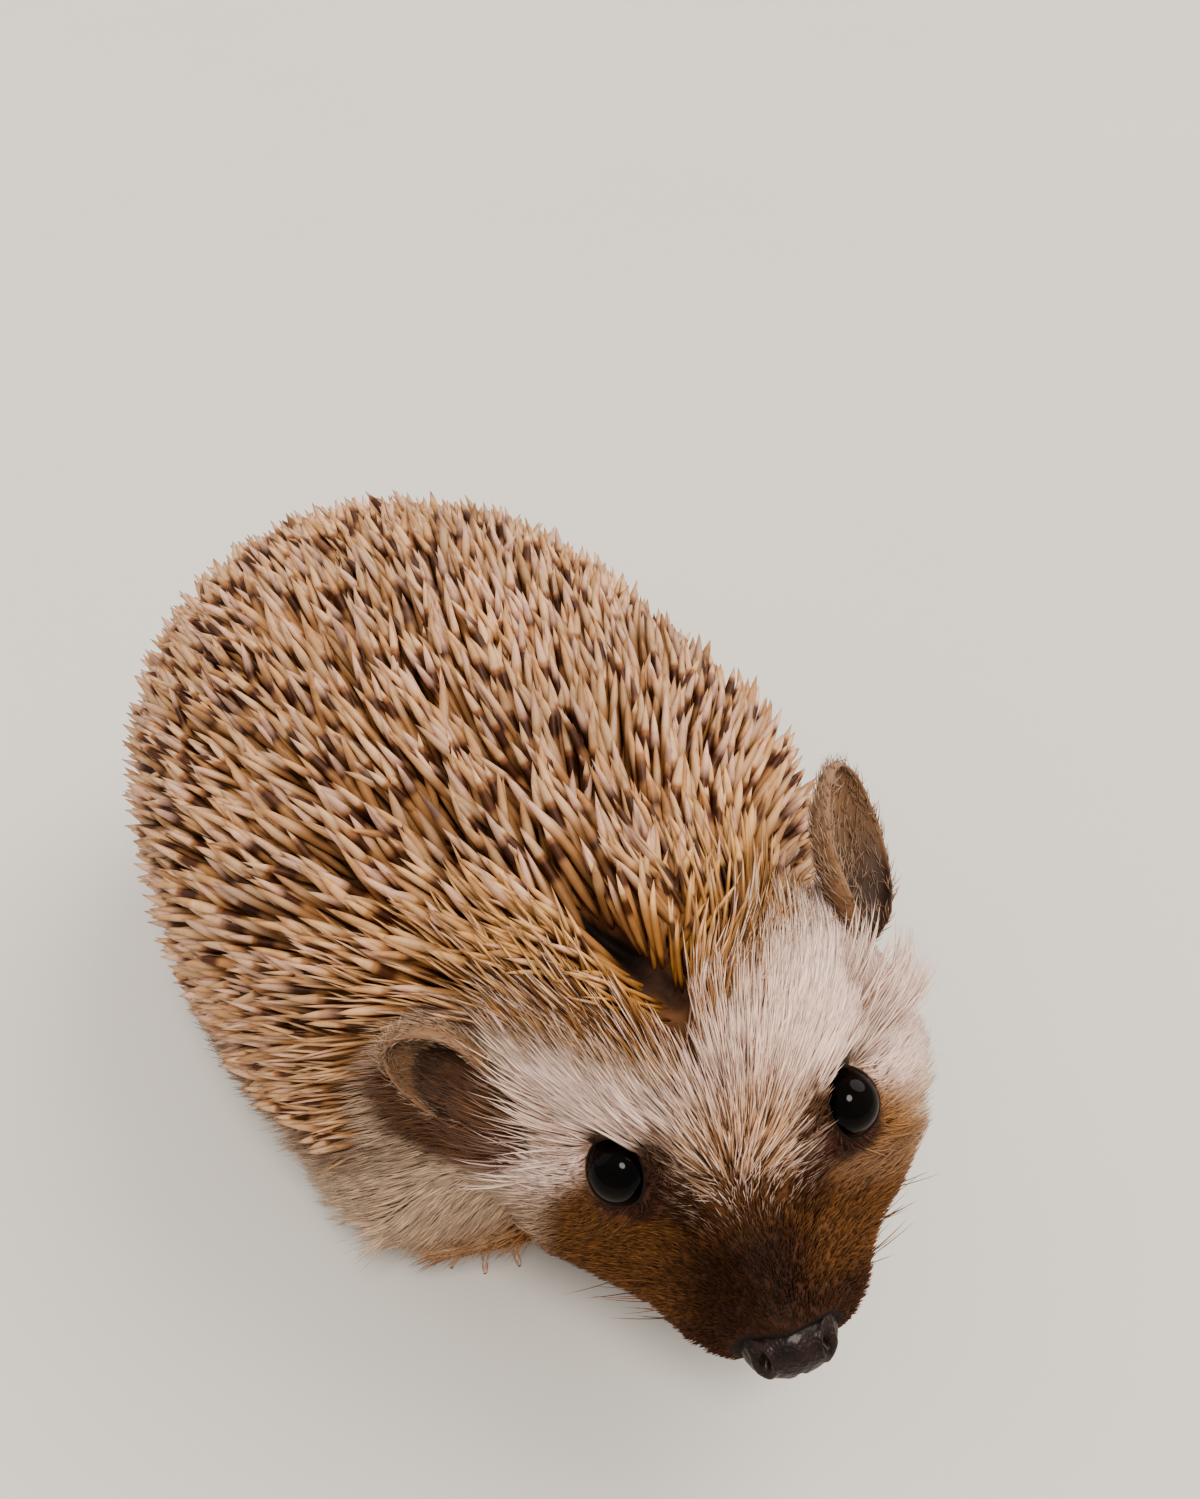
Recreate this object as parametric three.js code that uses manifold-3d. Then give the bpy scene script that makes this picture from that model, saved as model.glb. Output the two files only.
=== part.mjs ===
// A four-toed (African pygmy) hedgehog crouching at rest, life size, as a still model.
// Millimetres, +Z up. It faces -Y with its left side on +X, its soles lie at z = 0, and the origin is
// the centre of its bounding box on the floor. The solids reach out to the tips of the spines and fur.
import * as THREE from "three";
import { mergeVertices } from "three/addons/utils/BufferGeometryUtils.js";
import Module from "manifold-3d";

const wasm = await Module();
wasm.setup();

// ---- Driving dimensions. The body frame lies on the floor under the middle of the back.
const GAP = 0.3; // thin cut between neighbouring pieces
const MIRROR = { left: 1, right: -1 };

const COAT = {
  middle: 7.5, halfLength: 52.5, halfWidth: 40.2, top: 58, waist: 24, bottom: 5.5,
  squareness: 2.15, // 2 would be an ellipsoid
  hips: 0.01, // how much wider the rump end is than the middle, and the shoulder end narrower
  backRise: 0.14, // how the back climbs towards the rump
};
const SHOULDERS = { centre: [3, -14, 30], radii: [38.5, 25, 25.5], soft: 9 };
const NAPE = { centre: [1.5, -36, 37.5], radii: [18, 17, 17], soft: 8 };
// Low fur along the flanks and in front of each elbow.
const FLANK = { centre: [19, 0, 14], radii: [20, 36, 9.5], soft: 6 };
const SKIRT = { centre: [16.5, -28, 12.5], radii: [18, 20.5, 9], soft: 6 };

// Head frame: origin midway between the eyes, -y to the nose, +x to the animal's left.
const HEAD = { at: [2.25, -57.2, 34.9], turn: -13.2, nod: 20, lean: -7 };
const CRANIUM = { centre: [0, 12, -2.5], radii: [16.6, 16, 13.5], soft: 7 };
const CROWN = { centre: [0, 14, -1], radii: [17.2, 13.5, 15.5], soft: 8 };
const RUFF = { centre: [13.5, 5.5, -9], radii: [11, 11.5, 10.5], soft: 7 };
const CHEEK = { centre: [8, -0.5, -9.5], radii: [10.6, 11.2, 7.5], soft: 5 };
const WHISKER_PAD = { centre: [4.8, -8.6, -7.8], radii: [6.8, 10, 5], soft: 3 };
const BROW = { centre: [6.5, 3, 0], radii: [5, 7, 4], soft: 4 };
const MUZZLE = { from: [0, 2, -5], to: [0, -14.5, -5.4], fromRadius: 11, toRadius: 5.2, soft: 5 };
const CHIN = { from: [0, 3, -12.5], to: [0, -9.5, -11], fromRadius: 8, toRadius: 3.4, soft: 3 };
const NOSE = { centre: [0, -18.2, -5.3], radii: [4.7, 3.4, 3.3] };
const NOSTRIL = { centre: [3.1, -20.2, -5.9], radii: [1.05, 1.47, 0.84] };
const EYE = { spacing: 22, radius: 3.4, forward: -0.5, up: 1.3, gaze: [0.4, -0.35, 0.85], socket: 2.2 };
// The left ear is laid back, the right one lies out to the side.
const EAR = {
  left: { root: [18.6, 11, 3], tip: [21.4, 31, 7], open: [0.75, -0.35, 0.55] },
  right: { root: [-19.8, 7.2, 0], tip: [-29.8, 16.6, 3.8], open: [-0.35, -0.8, 0.35] },
  width: 5.7, depth: 3.4, wall: 1.1, opening: 2,
};
// Where the body is parted: distances in the head frame, leans in degrees.
const SNOUT_CUT = -5.2; // y in front of the eyes
const MOUTH_CUT = { height: -10.1, drop: 4 };
const NECK_CUT = { back: 13, lean: 35 };
const THROAT_CUT = { under: -20, lean: 24 };
const TRUNK_CUT = -20; // y in the body frame, behind the shoulders
const OVERLAP = 8; // how far each piece is grown past its cuts
const HALVINGS = 14; // how often the search for the surface halves its last millimetre
// Where each piece is grown from, how its points are spread, and how fine it is.
const GROW = {
  trunk: { from: [0, 4, 27], spread: [40, 62, 30], detail: 7 },
  neck: { from: [0, -30, 24], spread: [30, 26, 24], detail: 6 },
  head: { from: [0, 7, -6], spread: [18, 20, 16], detail: 7 },
  snout: { from: [0, -8, -7], spread: [7, 10, 7], detail: 5 },
  limb: { spread: [1, 1, 1], detail: 2 },
};

// Joints of each leg from the body down. The left forefoot is a step ahead of the right one.
const FORELEG = {
  left: [[20, -34, 17], [18.5, -42, 10], [13.2, -49, 4.6]],
  right: [[20, -24, 17], [20, -27, 10], [15.5, -30, 4.6]],
  radii: [7, 5.2, 3.6],
};
const HINDLEG = {
  left: [[25, 24, 17], [29, 14, 9.5], [27, 29, 4.8]],
  right: [[25, 24, 17], [29, 14, 9.5], [27, 29, 4.8]],
  radii: [8.5, 5.8, 3.8],
};
const FOREFOOT = {
  left: [12.5, -53, 0], right: [15, -33, 0], turn: 6, palm: [4.2, 4.8, 2.6], palmHeight: 2.2,
  toes: 5, fan: 22, toeRadii: [1.35, 2.7, 1.3], toeReach: 5.2, toeHeight: 1.15, claw: 2.8,
};
const HINDFOOT = {
  left: [28.5, 24, 0], right: [28.5, 24, 0], turn: 14, palm: [4, 9, 2.6], palmHeight: 2.2,
  toes: 4, fan: 15, toeRadii: [1.45, 3.2, 1.35], toeReach: 9.8, toeHeight: 1.2, claw: 3.2,
};
const CLAW = { radius: 0.62, tip: 0.27, droop: 14, curve: 0.05 };
const LIMB_SOFT = 3;
const TAIL = { root: [0, 48, 12.5], tip: [0, 60.5, 9], rootRadius: 3.8, tipRadius: 1.6 };

const FINISH = {
  spines: { color: 0xb89a7c, roughness: 0.62 },
  crown: { color: 0xa8835c, roughness: 0.68 },
  face: { color: 0xc9b3a0, roughness: 0.85 },
  mask: { color: 0x6b4a2c, roughness: 0.85 },
  ear: { color: 0x7a5a44, roughness: 0.7 },
  eye: { color: 0x0a0807, roughness: 0.05 },
  nose: { color: 0x1a1110, roughness: 0.3 },
  fur: { color: 0xa58e75, roughness: 0.9 },
  foot: { color: 0xb98a80, roughness: 0.6 },
  claw: { color: 0xcdb9a4, roughness: 0.4 },
};

// ---- Frames
const vec = (p, side = 1) => new THREE.Vector3(p[0] * side, p[1], p[2]);
const radians = THREE.MathUtils.degToRad;
const headFrame = new THREE.Matrix4()
  .makeRotationFromEuler(new THREE.Euler(radians(HEAD.nod), radians(HEAD.lean), radians(HEAD.turn), "ZXY"))
  .setPosition(vec(HEAD.at));
const intoHead = headFrame.clone().invert();

// ---- The body as one field: below zero inside, above zero outside, roughly in millimetres
function ellipsoid(p, centre, radii) {
  const x = (p.x - centre[0]) / radii[0];
  const y = (p.y - centre[1]) / radii[1];
  const z = (p.z - centre[2]) / radii[2];
  const far = Math.hypot(x, y, z);
  const slope = Math.hypot(x / radii[0], y / radii[1], z / radii[2]);
  return slope < 1e-6 ? -Math.min(...radii) : (far * (far - 1)) / slope;
}

function taper(p, from, to, fromRadius, toRadius) {
  const along = vec(to).sub(vec(from));
  const t = THREE.MathUtils.clamp(p.clone().sub(vec(from)).dot(along) / along.lengthSq(), 0, 1);
  return p.distanceTo(vec(from).addScaledVector(along, t)) - THREE.MathUtils.lerp(fromRadius, toRadius, t);
}

function blend(a, b, soft) {
  const share = Math.max(soft - Math.abs(a - b), 0) / soft;
  return Math.min(a, b) - (share * share * soft) / 4;
}

function coatField(p) {
  const k = COAT;
  const along = (p.y - k.middle) / k.halfLength;
  const z = p.z - k.waist - Math.max(p.z - k.waist, 0) * along * k.backRise;
  const height = z > 0 ? k.top - k.waist : k.waist - k.bottom;
  const width = k.halfWidth * (1 + k.hips * THREE.MathUtils.clamp(along, -1, 1));
  const sum = [p.x / width, along, z / height].reduce((s, v) => s + Math.abs(v) ** k.squareness, 0);
  return (sum ** (1 / k.squareness) - 1) * height;
}

function headField(world) {
  const p = world.clone().applyMatrix4(intoHead);
  const m = new THREE.Vector3(Math.abs(p.x), p.y, p.z); // both sides at once
  let d = ellipsoid(p, CRANIUM.centre, CRANIUM.radii);
  d = blend(d, ellipsoid(p, CROWN.centre, CROWN.radii), CROWN.soft);
  d = blend(d, ellipsoid(m, RUFF.centre, RUFF.radii), RUFF.soft);
  d = blend(d, ellipsoid(m, CHEEK.centre, CHEEK.radii), CHEEK.soft);
  d = blend(d, taper(p, MUZZLE.from, MUZZLE.to, MUZZLE.fromRadius, MUZZLE.toRadius), MUZZLE.soft);
  d = blend(d, taper(p, CHIN.from, CHIN.to, CHIN.fromRadius, CHIN.toRadius), CHIN.soft);
  d = blend(d, ellipsoid(m, WHISKER_PAD.centre, WHISKER_PAD.radii), WHISKER_PAD.soft);
  return blend(d, ellipsoid(m, BROW.centre, BROW.radii), BROW.soft);
}

function trunkField(p) {
  const shoulders = blend(coatField(p), ellipsoid(p, SHOULDERS.centre, SHOULDERS.radii), SHOULDERS.soft);
  return blend(shoulders, ellipsoid(p, NAPE.centre, NAPE.radii), NAPE.soft);
}

// The head on the shoulders, before the low fur is added.
const upperField = (p) => blend(trunkField(p), headField(p), CRANIUM.soft);

function bodyField(p) {
  const m = new THREE.Vector3(Math.abs(p.x), p.y, p.z);
  const flanks = blend(upperField(p), ellipsoid(m, FLANK.centre, FLANK.radii), FLANK.soft);
  return blend(flanks, ellipsoid(m, SKIRT.centre, SKIRT.radii), SKIRT.soft);
}

// ---- Solids
const bare = (geometry) => {
  const g = geometry.clone();
  g.deleteAttribute("normal");
  g.deleteAttribute("uv");
  return mergeVertices(g, 1e-4);
};

function solid(geometry) {
  const g = bare(geometry);
  return new wasm.Manifold(new wasm.Mesh({
    numProp: 3,
    vertProperties: new Float32Array(g.attributes.position.array),
    triVerts: new Uint32Array(g.index.array),
  }));
}

// A ball whose points run out along their rays until they meet the field's surface.
function grown(from, { spread, detail }, field, outset = 0) {
  const g = bare(new THREE.IcosahedronGeometry(1, detail));
  const at = g.attributes.position;
  const ray = new THREE.Vector3();
  const inside = (t) => field(ray.clone().multiplyScalar(t).add(from)) < outset;
  for (let i = 0; i < at.count; i++) {
    ray.fromBufferAttribute(at, i).multiply(vec(spread)).normalize();
    let near = 0;
    while (inside(near + 1)) near += 1;
    let far = near + 1;
    for (let k = 0; k < HALVINGS; k++) {
      const middle = (near + far) / 2;
      if (inside(middle)) near = middle;
      else far = middle;
    }
    ray.multiplyScalar(near).add(from);
    at.setXYZ(i, ray.x, ray.y, ray.z);
  }
  return solid(g);
}

// A big block filling the space behind a plane, seen along its normal.
function behind(point, normal) {
  const size = 400;
  const block = new THREE.BoxGeometry(size, size, size).translate(0, 0, -size / 2);
  block.applyQuaternion(new THREE.Quaternion().setFromUnitVectors(new THREE.Vector3(0, 0, 1), normal));
  return solid(block.translate(point.x, point.y, point.z));
}

function ball(radii, across = 12, down = 8) {
  return new THREE.SphereGeometry(1, across, down).scale(...radii);
}

// A limb: tapered lengths blended at its middle joint, grown from there.
function limb(joints, radii, outset = 0) {
  const bend = Math.floor(joints.length / 2);
  const lengths = joints.slice(1).map((joint, i) => [joints[i], joint, radii[i], radii[i + 1]]);
  const field = (p) => lengths.map((length) => taper(p, ...length)).reduce((a, b) => blend(a, b, LIMB_SOFT));
  return grown(vec(joints[bend]), GROW.limb, field, outset);
}

const inHead = (geometry) => geometry.applyMatrix4(headFrame);
const headPoint = (p, side = 1) => vec(p, side).applyMatrix4(headFrame);
const headDirection = (x, y, z) => new THREE.Vector3(x, y, z).transformDirection(headFrame);
const floorUp = behind(new THREE.Vector3(), new THREE.Vector3(0, 0, -1));

// ---- Pieces
const pieces = [];
const keep = (name, shape, finish) => pieces.push({ name, shape, finish });

const eyeCentre = (side) => headPoint([EYE.spacing / 2, EYE.forward, EYE.up], side);

function eyeBall(side, outset = 0) {
  const r = EYE.radius + outset;
  const at = eyeCentre(side);
  return solid(ball([r, r, r], 12, 8).translate(at.x, at.y, at.z));
}

// Room round the eye that opens towards its gaze.
function socket(side) {
  const opening = vec(EYE.gaze, side).normalize().transformDirection(headFrame);
  const at = eyeCentre(side).addScaledVector(opening, EYE.socket);
  const r = EYE.radius + GAP;
  return eyeBall(side, GAP).add(solid(ball([r, r, r], 12, 8).translate(at.x, at.y, at.z)));
}

// A cupped leaf: a flattened ball hollowed by a smaller one that is moved towards its open side.
function ear(name) {
  const { root, tip, open } = EAR[name];
  const along = vec(tip).sub(vec(root));
  const tall = along.length() / 2;
  const middle = vec(root).addScaledVector(along, 0.5);
  along.normalize();
  const across = along.clone().cross(vec(open)).normalize();
  const place = new THREE.Matrix4().makeBasis(across, along, across.clone().cross(along));
  place.setPosition(middle);
  const shape = (g) => solid(inHead(g.applyMatrix4(place)));
  const outer = shape(ball([EAR.width, tall, EAR.depth], 10, 8));
  const hollow = ball([EAR.width - EAR.wall, tall - EAR.wall, EAR.depth], 10, 8).translate(0, 0, EAR.opening);
  return outer.subtract(shape(hollow));
}

function nosePad(outset = 0) {
  const radii = NOSE.radii.map((r) => r + outset);
  return solid(inHead(ball(radii, 10, 8).translate(...NOSE.centre)));
}

function nostrils() {
  const [x, y, z] = NOSTRIL.centre;
  return Object.values(MIRROR)
    .map((side) => solid(inHead(ball(NOSTRIL.radii, 6, 4).translate(x * side, y, z))))
    .reduce((a, b) => a.add(b));
}

const mirrored = (joints, side) => joints.map(([x, y, z]) => [x * side, y, z]);
const leg = (kind, name, outset = 0) => limb(mirrored(kind[name], MIRROR[name]), kind.radii, outset);

function footFrame(kind, name) {
  const side = MIRROR[name];
  return new THREE.Matrix4().makeRotationZ(radians(kind.turn * side)).setPosition(vec(kind[name], side));
}
const toeAngle = (foot, i) => radians((i - (foot.toes - 1) / 2) * foot.fan);

// The sole and its toes, cut flat where they meet the floor.
function foot(kind, name, outset = 0) {
  const wider = (radii) => radii.map((r) => r + outset);
  const parts = [ball(wider(kind.palm), 8, 6).translate(0, 0, kind.palmHeight)];
  for (let i = 0; i < kind.toes; i++) {
    const toe = ball(wider(kind.toeRadii), 5, 4).translate(0, -kind.toeReach, kind.toeHeight);
    parts.push(toe.rotateZ(toeAngle(kind, i)));
  }
  const whole = parts.map((g) => solid(g.applyMatrix4(footFrame(kind, name)))).reduce((a, b) => a.add(b));
  return whole.intersect(floorUp);
}

// A tapered nail that starts just off its toe and bends down to the floor.
function claw(kind, name, i) {
  const nail = new THREE.CylinderGeometry(CLAW.tip, CLAW.radius, kind.claw, 5, 2);
  nail.translate(0, kind.claw / 2, 0);
  const at = nail.attributes.position;
  for (let v = 0; v < at.count; v++) at.setZ(v, at.getZ(v) + CLAW.curve * at.getY(v) ** 2);
  nail.rotateX(Math.PI).rotateX(radians(CLAW.droop));
  nail.translate(0, -kind.toeReach - kind.toeRadii[1] - GAP, kind.toeHeight);
  return solid(nail.rotateZ(toeAngle(kind, i)).applyMatrix4(footFrame(kind, name))).intersect(floorUp);
}

// The planes that part the body, each as a point and a normal, moved along by an offset.
const trunkFace = (offset = 0) => [new THREE.Vector3(0, TRUNK_CUT + offset, 0), new THREE.Vector3(0, 1, 0)];
const leaningFace = (y, z, lean) => [headPoint([0, y, z]), headDirection(0, Math.cos(lean), Math.sin(lean))];
const neckFace = (offset = 0) => leaningFace(NECK_CUT.back + offset, 0, radians(-NECK_CUT.lean));
const throatFace = (offset = 0) => leaningFace(0, THROAT_CUT.under + offset, radians(90 - THROAT_CUT.lean));
const snoutFace = (offset = 0) => leaningFace(SNOUT_CUT + offset, 0, 0);
const mouthFace = (offset) => leaningFace(SNOUT_CUT, MOUTH_CUT.height + offset, radians(90 + MOUTH_CUT.drop));
const flipped = ([point, normal]) => [point, normal.clone().negate()];
const beyond = (p, [point, normal]) => p.clone().sub(point).dot(normal);
const half = GAP / 2;

// The head's share of the body lies before the neck plane and above the throat plane.
const headRoom = (offset) => behind(...neckFace(offset)).intersect(behind(...flipped(throatFace(-offset))));
const outsideHead = (p) => Math.max(beyond(p, neckFace()), -beyond(p, throatFace()));
const shareOf = (field, ...limits) => (p) => Math.max(field(p), ...limits.map((limit) => limit(p) - OVERLAP));
const trunkShare = shareOf(bodyField, (p) => -beyond(p, trunkFace()));
const neckShare = shareOf(bodyField, (p) => beyond(p, trunkFace()), (p) => -outsideHead(p));
const headShare = shareOf(upperField, outsideHead, (p) => -beyond(p, snoutFace()));
const snoutShare = shareOf(upperField, outsideHead, (p) => beyond(p, snoutFace()));
const growNeck = (outset) => grown(vec(GROW.neck.from), GROW.neck, neckShare, outset);
const growHead = (outset) => grown(headPoint(GROW.head.from), GROW.head, headShare, outset);

const legRoom = Object.keys(MIRROR)
  .flatMap((name) => [leg(FORELEG, name, GAP), leg(HINDLEG, name, GAP)]
    .concat([foot(FOREFOOT, name, GAP), foot(HINDFOOT, name, GAP)]))
  .reduce((a, b) => a.add(b));
const tailWith = (outset) => limb([TAIL.root, TAIL.tip], [TAIL.rootRadius, TAIL.tipRadius], outset);

const trunk = grown(vec(GROW.trunk.from), GROW.trunk, trunkShare)
  .intersect(behind(...flipped(trunkFace(half))))
  .subtract(legRoom)
  .subtract(tailWith(GAP));
const neck = growNeck(0)
  .intersect(behind(...trunkFace(-half)))
  .subtract(headRoom(half))
  .subtract(legRoom);
const head = growHead(0)
  .intersect(headRoom(-half))
  .intersect(behind(...flipped(snoutFace(half))))
  .subtract(socket(MIRROR.left))
  .subtract(socket(MIRROR.right))
  .subtract(legRoom);
const wholeSnout = grown(headPoint(GROW.snout.from), GROW.snout, snoutShare)
  .intersect(headRoom(-half))
  .intersect(behind(...snoutFace(-half)))
  .subtract(nosePad(GAP));
const snout = wholeSnout.intersect(behind(...flipped(mouthFace(half))));
const jaw = wholeSnout.intersect(behind(...mouthFace(-half)));
const earClearance = growHead(GAP).add(growNeck(GAP));

keep("trunk", trunk, FINISH.spines);
keep("neck", neck, FINISH.crown);
keep("head", head, FINISH.face);
keep("snout", snout, FINISH.mask);
keep("lower_jaw", jaw, FINISH.mask);
keep("nose", nosePad().subtract(nostrils()), FINISH.nose);
keep("tail", tailWith(0), FINISH.fur);

for (const [name, side] of Object.entries(MIRROR)) {
  keep(`eye_${name}`, eyeBall(side), FINISH.eye);
  keep(`ear_${name}`, ear(name).subtract(earClearance), FINISH.ear);
  for (const [pair, legKind, footKind] of [["fore", FORELEG, FOREFOOT], ["hind", HINDLEG, HINDFOOT]]) {
    const upperLeg = leg(legKind, name).subtract(foot(footKind, name, GAP)).intersect(floorUp);
    keep(`${pair}leg_${name}`, upperLeg, FINISH.fur);
    keep(`${pair}foot_${name}`, foot(footKind, name), FINISH.foot);
    for (let i = 0; i < footKind.toes; i++) {
      keep(`${pair}foot_${name}_claw_${i + 1}`, claw(footKind, name, i), FINISH.claw);
    }
  }
}

// ---- The scene graph
function meshOf({ name, shape, finish }) {
  const made = shape.getMesh();
  const geometry = new THREE.BufferGeometry();
  geometry.setAttribute("position", new THREE.BufferAttribute(new Float32Array(made.vertProperties), 3));
  geometry.setIndex(new THREE.BufferAttribute(new Uint32Array(made.triVerts), 1));
  geometry.computeVertexNormals();
  const mesh = new THREE.Mesh(geometry, new THREE.MeshStandardMaterial({ ...finish, metalness: 0 }));
  mesh.name = name;
  return mesh;
}

const hedgehog = new THREE.Group();
hedgehog.name = "hedgehog";
pieces.forEach((piece) => hedgehog.add(meshOf(piece)));
const middle = new THREE.Box3().setFromObject(hedgehog).getCenter(new THREE.Vector3());
hedgehog.position.set(-middle.x, -middle.y, 0);

export default hedgehog;
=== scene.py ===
import math
import time

import bmesh
import bpy
import numpy as np
from mathutils import Matrix, Vector
from mathutils.bvhtree import BVHTree
from mathutils.kdtree import KDTree


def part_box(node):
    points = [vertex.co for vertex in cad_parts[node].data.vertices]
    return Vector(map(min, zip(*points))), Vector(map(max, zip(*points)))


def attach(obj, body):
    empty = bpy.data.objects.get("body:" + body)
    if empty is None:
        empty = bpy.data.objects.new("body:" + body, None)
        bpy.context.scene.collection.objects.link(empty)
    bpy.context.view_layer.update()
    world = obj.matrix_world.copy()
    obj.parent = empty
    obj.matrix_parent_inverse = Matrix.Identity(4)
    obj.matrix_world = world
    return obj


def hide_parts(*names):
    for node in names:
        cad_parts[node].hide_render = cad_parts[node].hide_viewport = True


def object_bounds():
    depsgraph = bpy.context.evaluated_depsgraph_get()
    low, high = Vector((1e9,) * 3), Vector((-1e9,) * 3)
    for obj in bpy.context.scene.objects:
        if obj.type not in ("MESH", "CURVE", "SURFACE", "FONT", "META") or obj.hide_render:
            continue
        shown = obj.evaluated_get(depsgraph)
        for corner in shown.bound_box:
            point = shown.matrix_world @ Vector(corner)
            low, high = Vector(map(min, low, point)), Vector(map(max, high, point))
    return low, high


# A still model of an African pygmy hedgehog: one skin under banded spines and fur.
# Everything here is worked out in millimetres in the CAD's frame and handed to Blender in metres.
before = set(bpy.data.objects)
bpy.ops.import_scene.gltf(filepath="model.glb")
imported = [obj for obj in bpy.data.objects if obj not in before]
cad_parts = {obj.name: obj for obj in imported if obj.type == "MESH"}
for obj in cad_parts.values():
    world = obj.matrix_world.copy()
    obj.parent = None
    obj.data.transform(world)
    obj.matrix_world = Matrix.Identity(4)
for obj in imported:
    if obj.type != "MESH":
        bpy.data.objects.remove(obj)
cadLow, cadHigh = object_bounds()
mm = 0.001
cadMiddle = (np.array(cadLow) + np.array(cadHigh)) / 2 / mm
handOf = {"left": 1, "right": -1}  # the way each side lies from the head's middle
chance = np.random.default_rng(11)
started = time.time()


def report(stage):
    print(f"hedgehog: {stage} ({time.time() - started:.0f} s)")


def unit(v):
    v = np.asarray(v, float)
    return v / np.maximum(np.linalg.norm(v, axis=-1, keepdims=True), 1e-9)


def squareTo(v, axis):  # the direction of v, turned square to an axis
    return unit(v - (v * axis).sum(-1, keepdims=True) * axis)


def distance(points, place):
    return np.linalg.norm(points - place, axis=1)


def ramp(x, low, high):  # 0 below low, 1 above high, smooth between
    t = np.clip((x - low) / (high - low), 0, 1)
    return t * t * (3 - 2 * t)


def fading(x, low, high):  # 1 below low, 0 above high
    return 1 - ramp(x, low, high)


def within(x, start, full, fade, end):
    return ramp(x, start, full) * fading(x, fade, end)


def bell(x, middle, width):
    return np.exp(-((x - middle) / width) ** 2)


def mixed(a, b, share):
    return a + (b - a) * share


def ripple(points, size, seed):  # smooth wandering value from -1 to 1
    waves = 4
    made = np.zeros(len(points))
    for k in range(waves):
        way = unit([math.sin(seed + 2.1 * k), math.cos(1.7 * seed + k), math.sin(0.6 * seed + 3.3 * k)])
        made += np.sin(points @ way * 2 * math.pi / (size * (1 + 0.37 * k)) + 1.9 * k + seed)
    return made / waves


def waver(points, plan):  # a plan says how far, over what length, and gives a seed
    amount, size, seed = plan
    return amount * ripple(points, size, seed)


def middleOf(node):
    low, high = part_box(node)
    return np.array((low + high) / 2) / mm


def meshArrays(mesh):
    points = np.empty(len(mesh.vertices) * 3, np.float32)
    mesh.vertices.foreach_get("co", points)
    mesh.calc_loop_triangles()
    corners = np.empty(len(mesh.loop_triangles) * 3, np.int32)
    mesh.loop_triangles.foreach_get("vertices", corners)
    return points.reshape(-1, 3).astype(float) / mm, corners.reshape(-1, 3)


def edgeArray(mesh):
    ends = np.empty(len(mesh.edges) * 2, np.int32)
    mesh.edges.foreach_get("vertices", ends)
    return ends.reshape(-1, 2)


def normalsOf(points, triangles):
    a, b, c = (points[triangles[:, k]] for k in range(3))
    facing = np.cross(b - a, c - a)
    made = np.zeros((len(points), 3))
    for k in range(3):
        for axis in range(3):
            made[:, axis] += np.bincount(triangles[:, k], facing[:, axis], len(points))
    return unit(made)


def smoothed(values, edges, rounds, amount=0.5):  # amount may differ from point to point
    values = np.array(values, float)
    flat = values.ndim == 1
    if flat:
        values = values[:, None]
    count = len(values)
    near = np.bincount(edges[:, 0], minlength=count) + np.bincount(edges[:, 1], minlength=count)
    near = np.maximum(near, 1)[:, None]
    amount = np.broadcast_to(np.asarray(amount, float), (count,))[:, None]
    for _ in range(rounds):
        total = np.empty_like(values)
        for axis in range(values.shape[1]):
            total[:, axis] = np.bincount(edges[:, 0], values[edges[:, 1], axis], count)
            total[:, axis] += np.bincount(edges[:, 1], values[edges[:, 0], axis], count)
        values = mixed(values, total / near, amount)
    return values[:, 0] if flat else values


def surfaceTree(points, triangles):
    return BVHTree.FromPolygons([tuple(p) for p in points], [tuple(t) for t in triangles.tolist()])


def placeTree(points):
    tree = KDTree(len(points))
    for i, p in enumerate(points):
        tree.insert(p, i)
    tree.balance()
    return tree


def setPoints(mesh, points):
    mesh.vertices.foreach_set("co", (np.asarray(points) * mm).astype(np.float32).ravel())
    mesh.polygons.foreach_set("use_smooth", [True] * len(mesh.polygons))
    mesh.update()


def placed(name, data):
    made = bpy.data.objects.new(name, data)
    bpy.context.scene.collection.objects.link(made)
    return made


def newPiece(name, points, faces):
    mesh = bpy.data.meshes.new(name)
    mesh.from_pydata([tuple(p) for p in np.asarray(points) * mm], [], [tuple(f) for f in faces])
    mesh.polygons.foreach_set("use_smooth", [True] * len(mesh.polygons))
    return placed(name, mesh)


def addValues(mesh, values):
    for name, numbers in values.items():
        made = mesh.attributes.new(name, "FLOAT", "POINT")
        made.data.foreach_set("value", np.asarray(numbers, np.float32))


def remeshed(name, parts, voxel):  # closed shapes made one even mesh
    points, faces, start = [], [], 0
    for partPoints, partFaces in parts:
        points.append(partPoints)
        faces.append(partFaces + start)
        start += len(partPoints)
    piece = newPiece(name, np.concatenate(points), np.concatenate(faces))
    modifier = piece.modifiers.new("even", "REMESH")
    modifier.mode = "VOXEL"
    modifier.voxel_size = voxel * mm
    modifier.use_smooth_shade = True
    rough = piece.data
    seen = piece.evaluated_get(bpy.context.evaluated_depsgraph_get())
    even = bpy.data.meshes.new_from_object(seen)
    piece.modifiers.clear()
    piece.data = even
    bpy.data.meshes.remove(rough)
    return piece


def ballArrays(centre, radii, axes=None, detail=3):
    bm = bmesh.new()
    bmesh.ops.create_icosphere(bm, subdivisions=detail, radius=1)
    points = np.array([v.co for v in bm.verts]) * radii
    faces = np.array([[v.index for v in f.verts] for f in bm.faces])
    bm.free()
    if axes is not None:
        points = points @ axes
    return points + centre, faces


def ringQuads(rings, around):
    quads = []
    for r in range(rings - 1):
        for k in range(around):
            here, beside = r * around + k, r * around + (k + 1) % around
            quads.append((here, beside, beside + around, here + around))
    return quads


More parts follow.
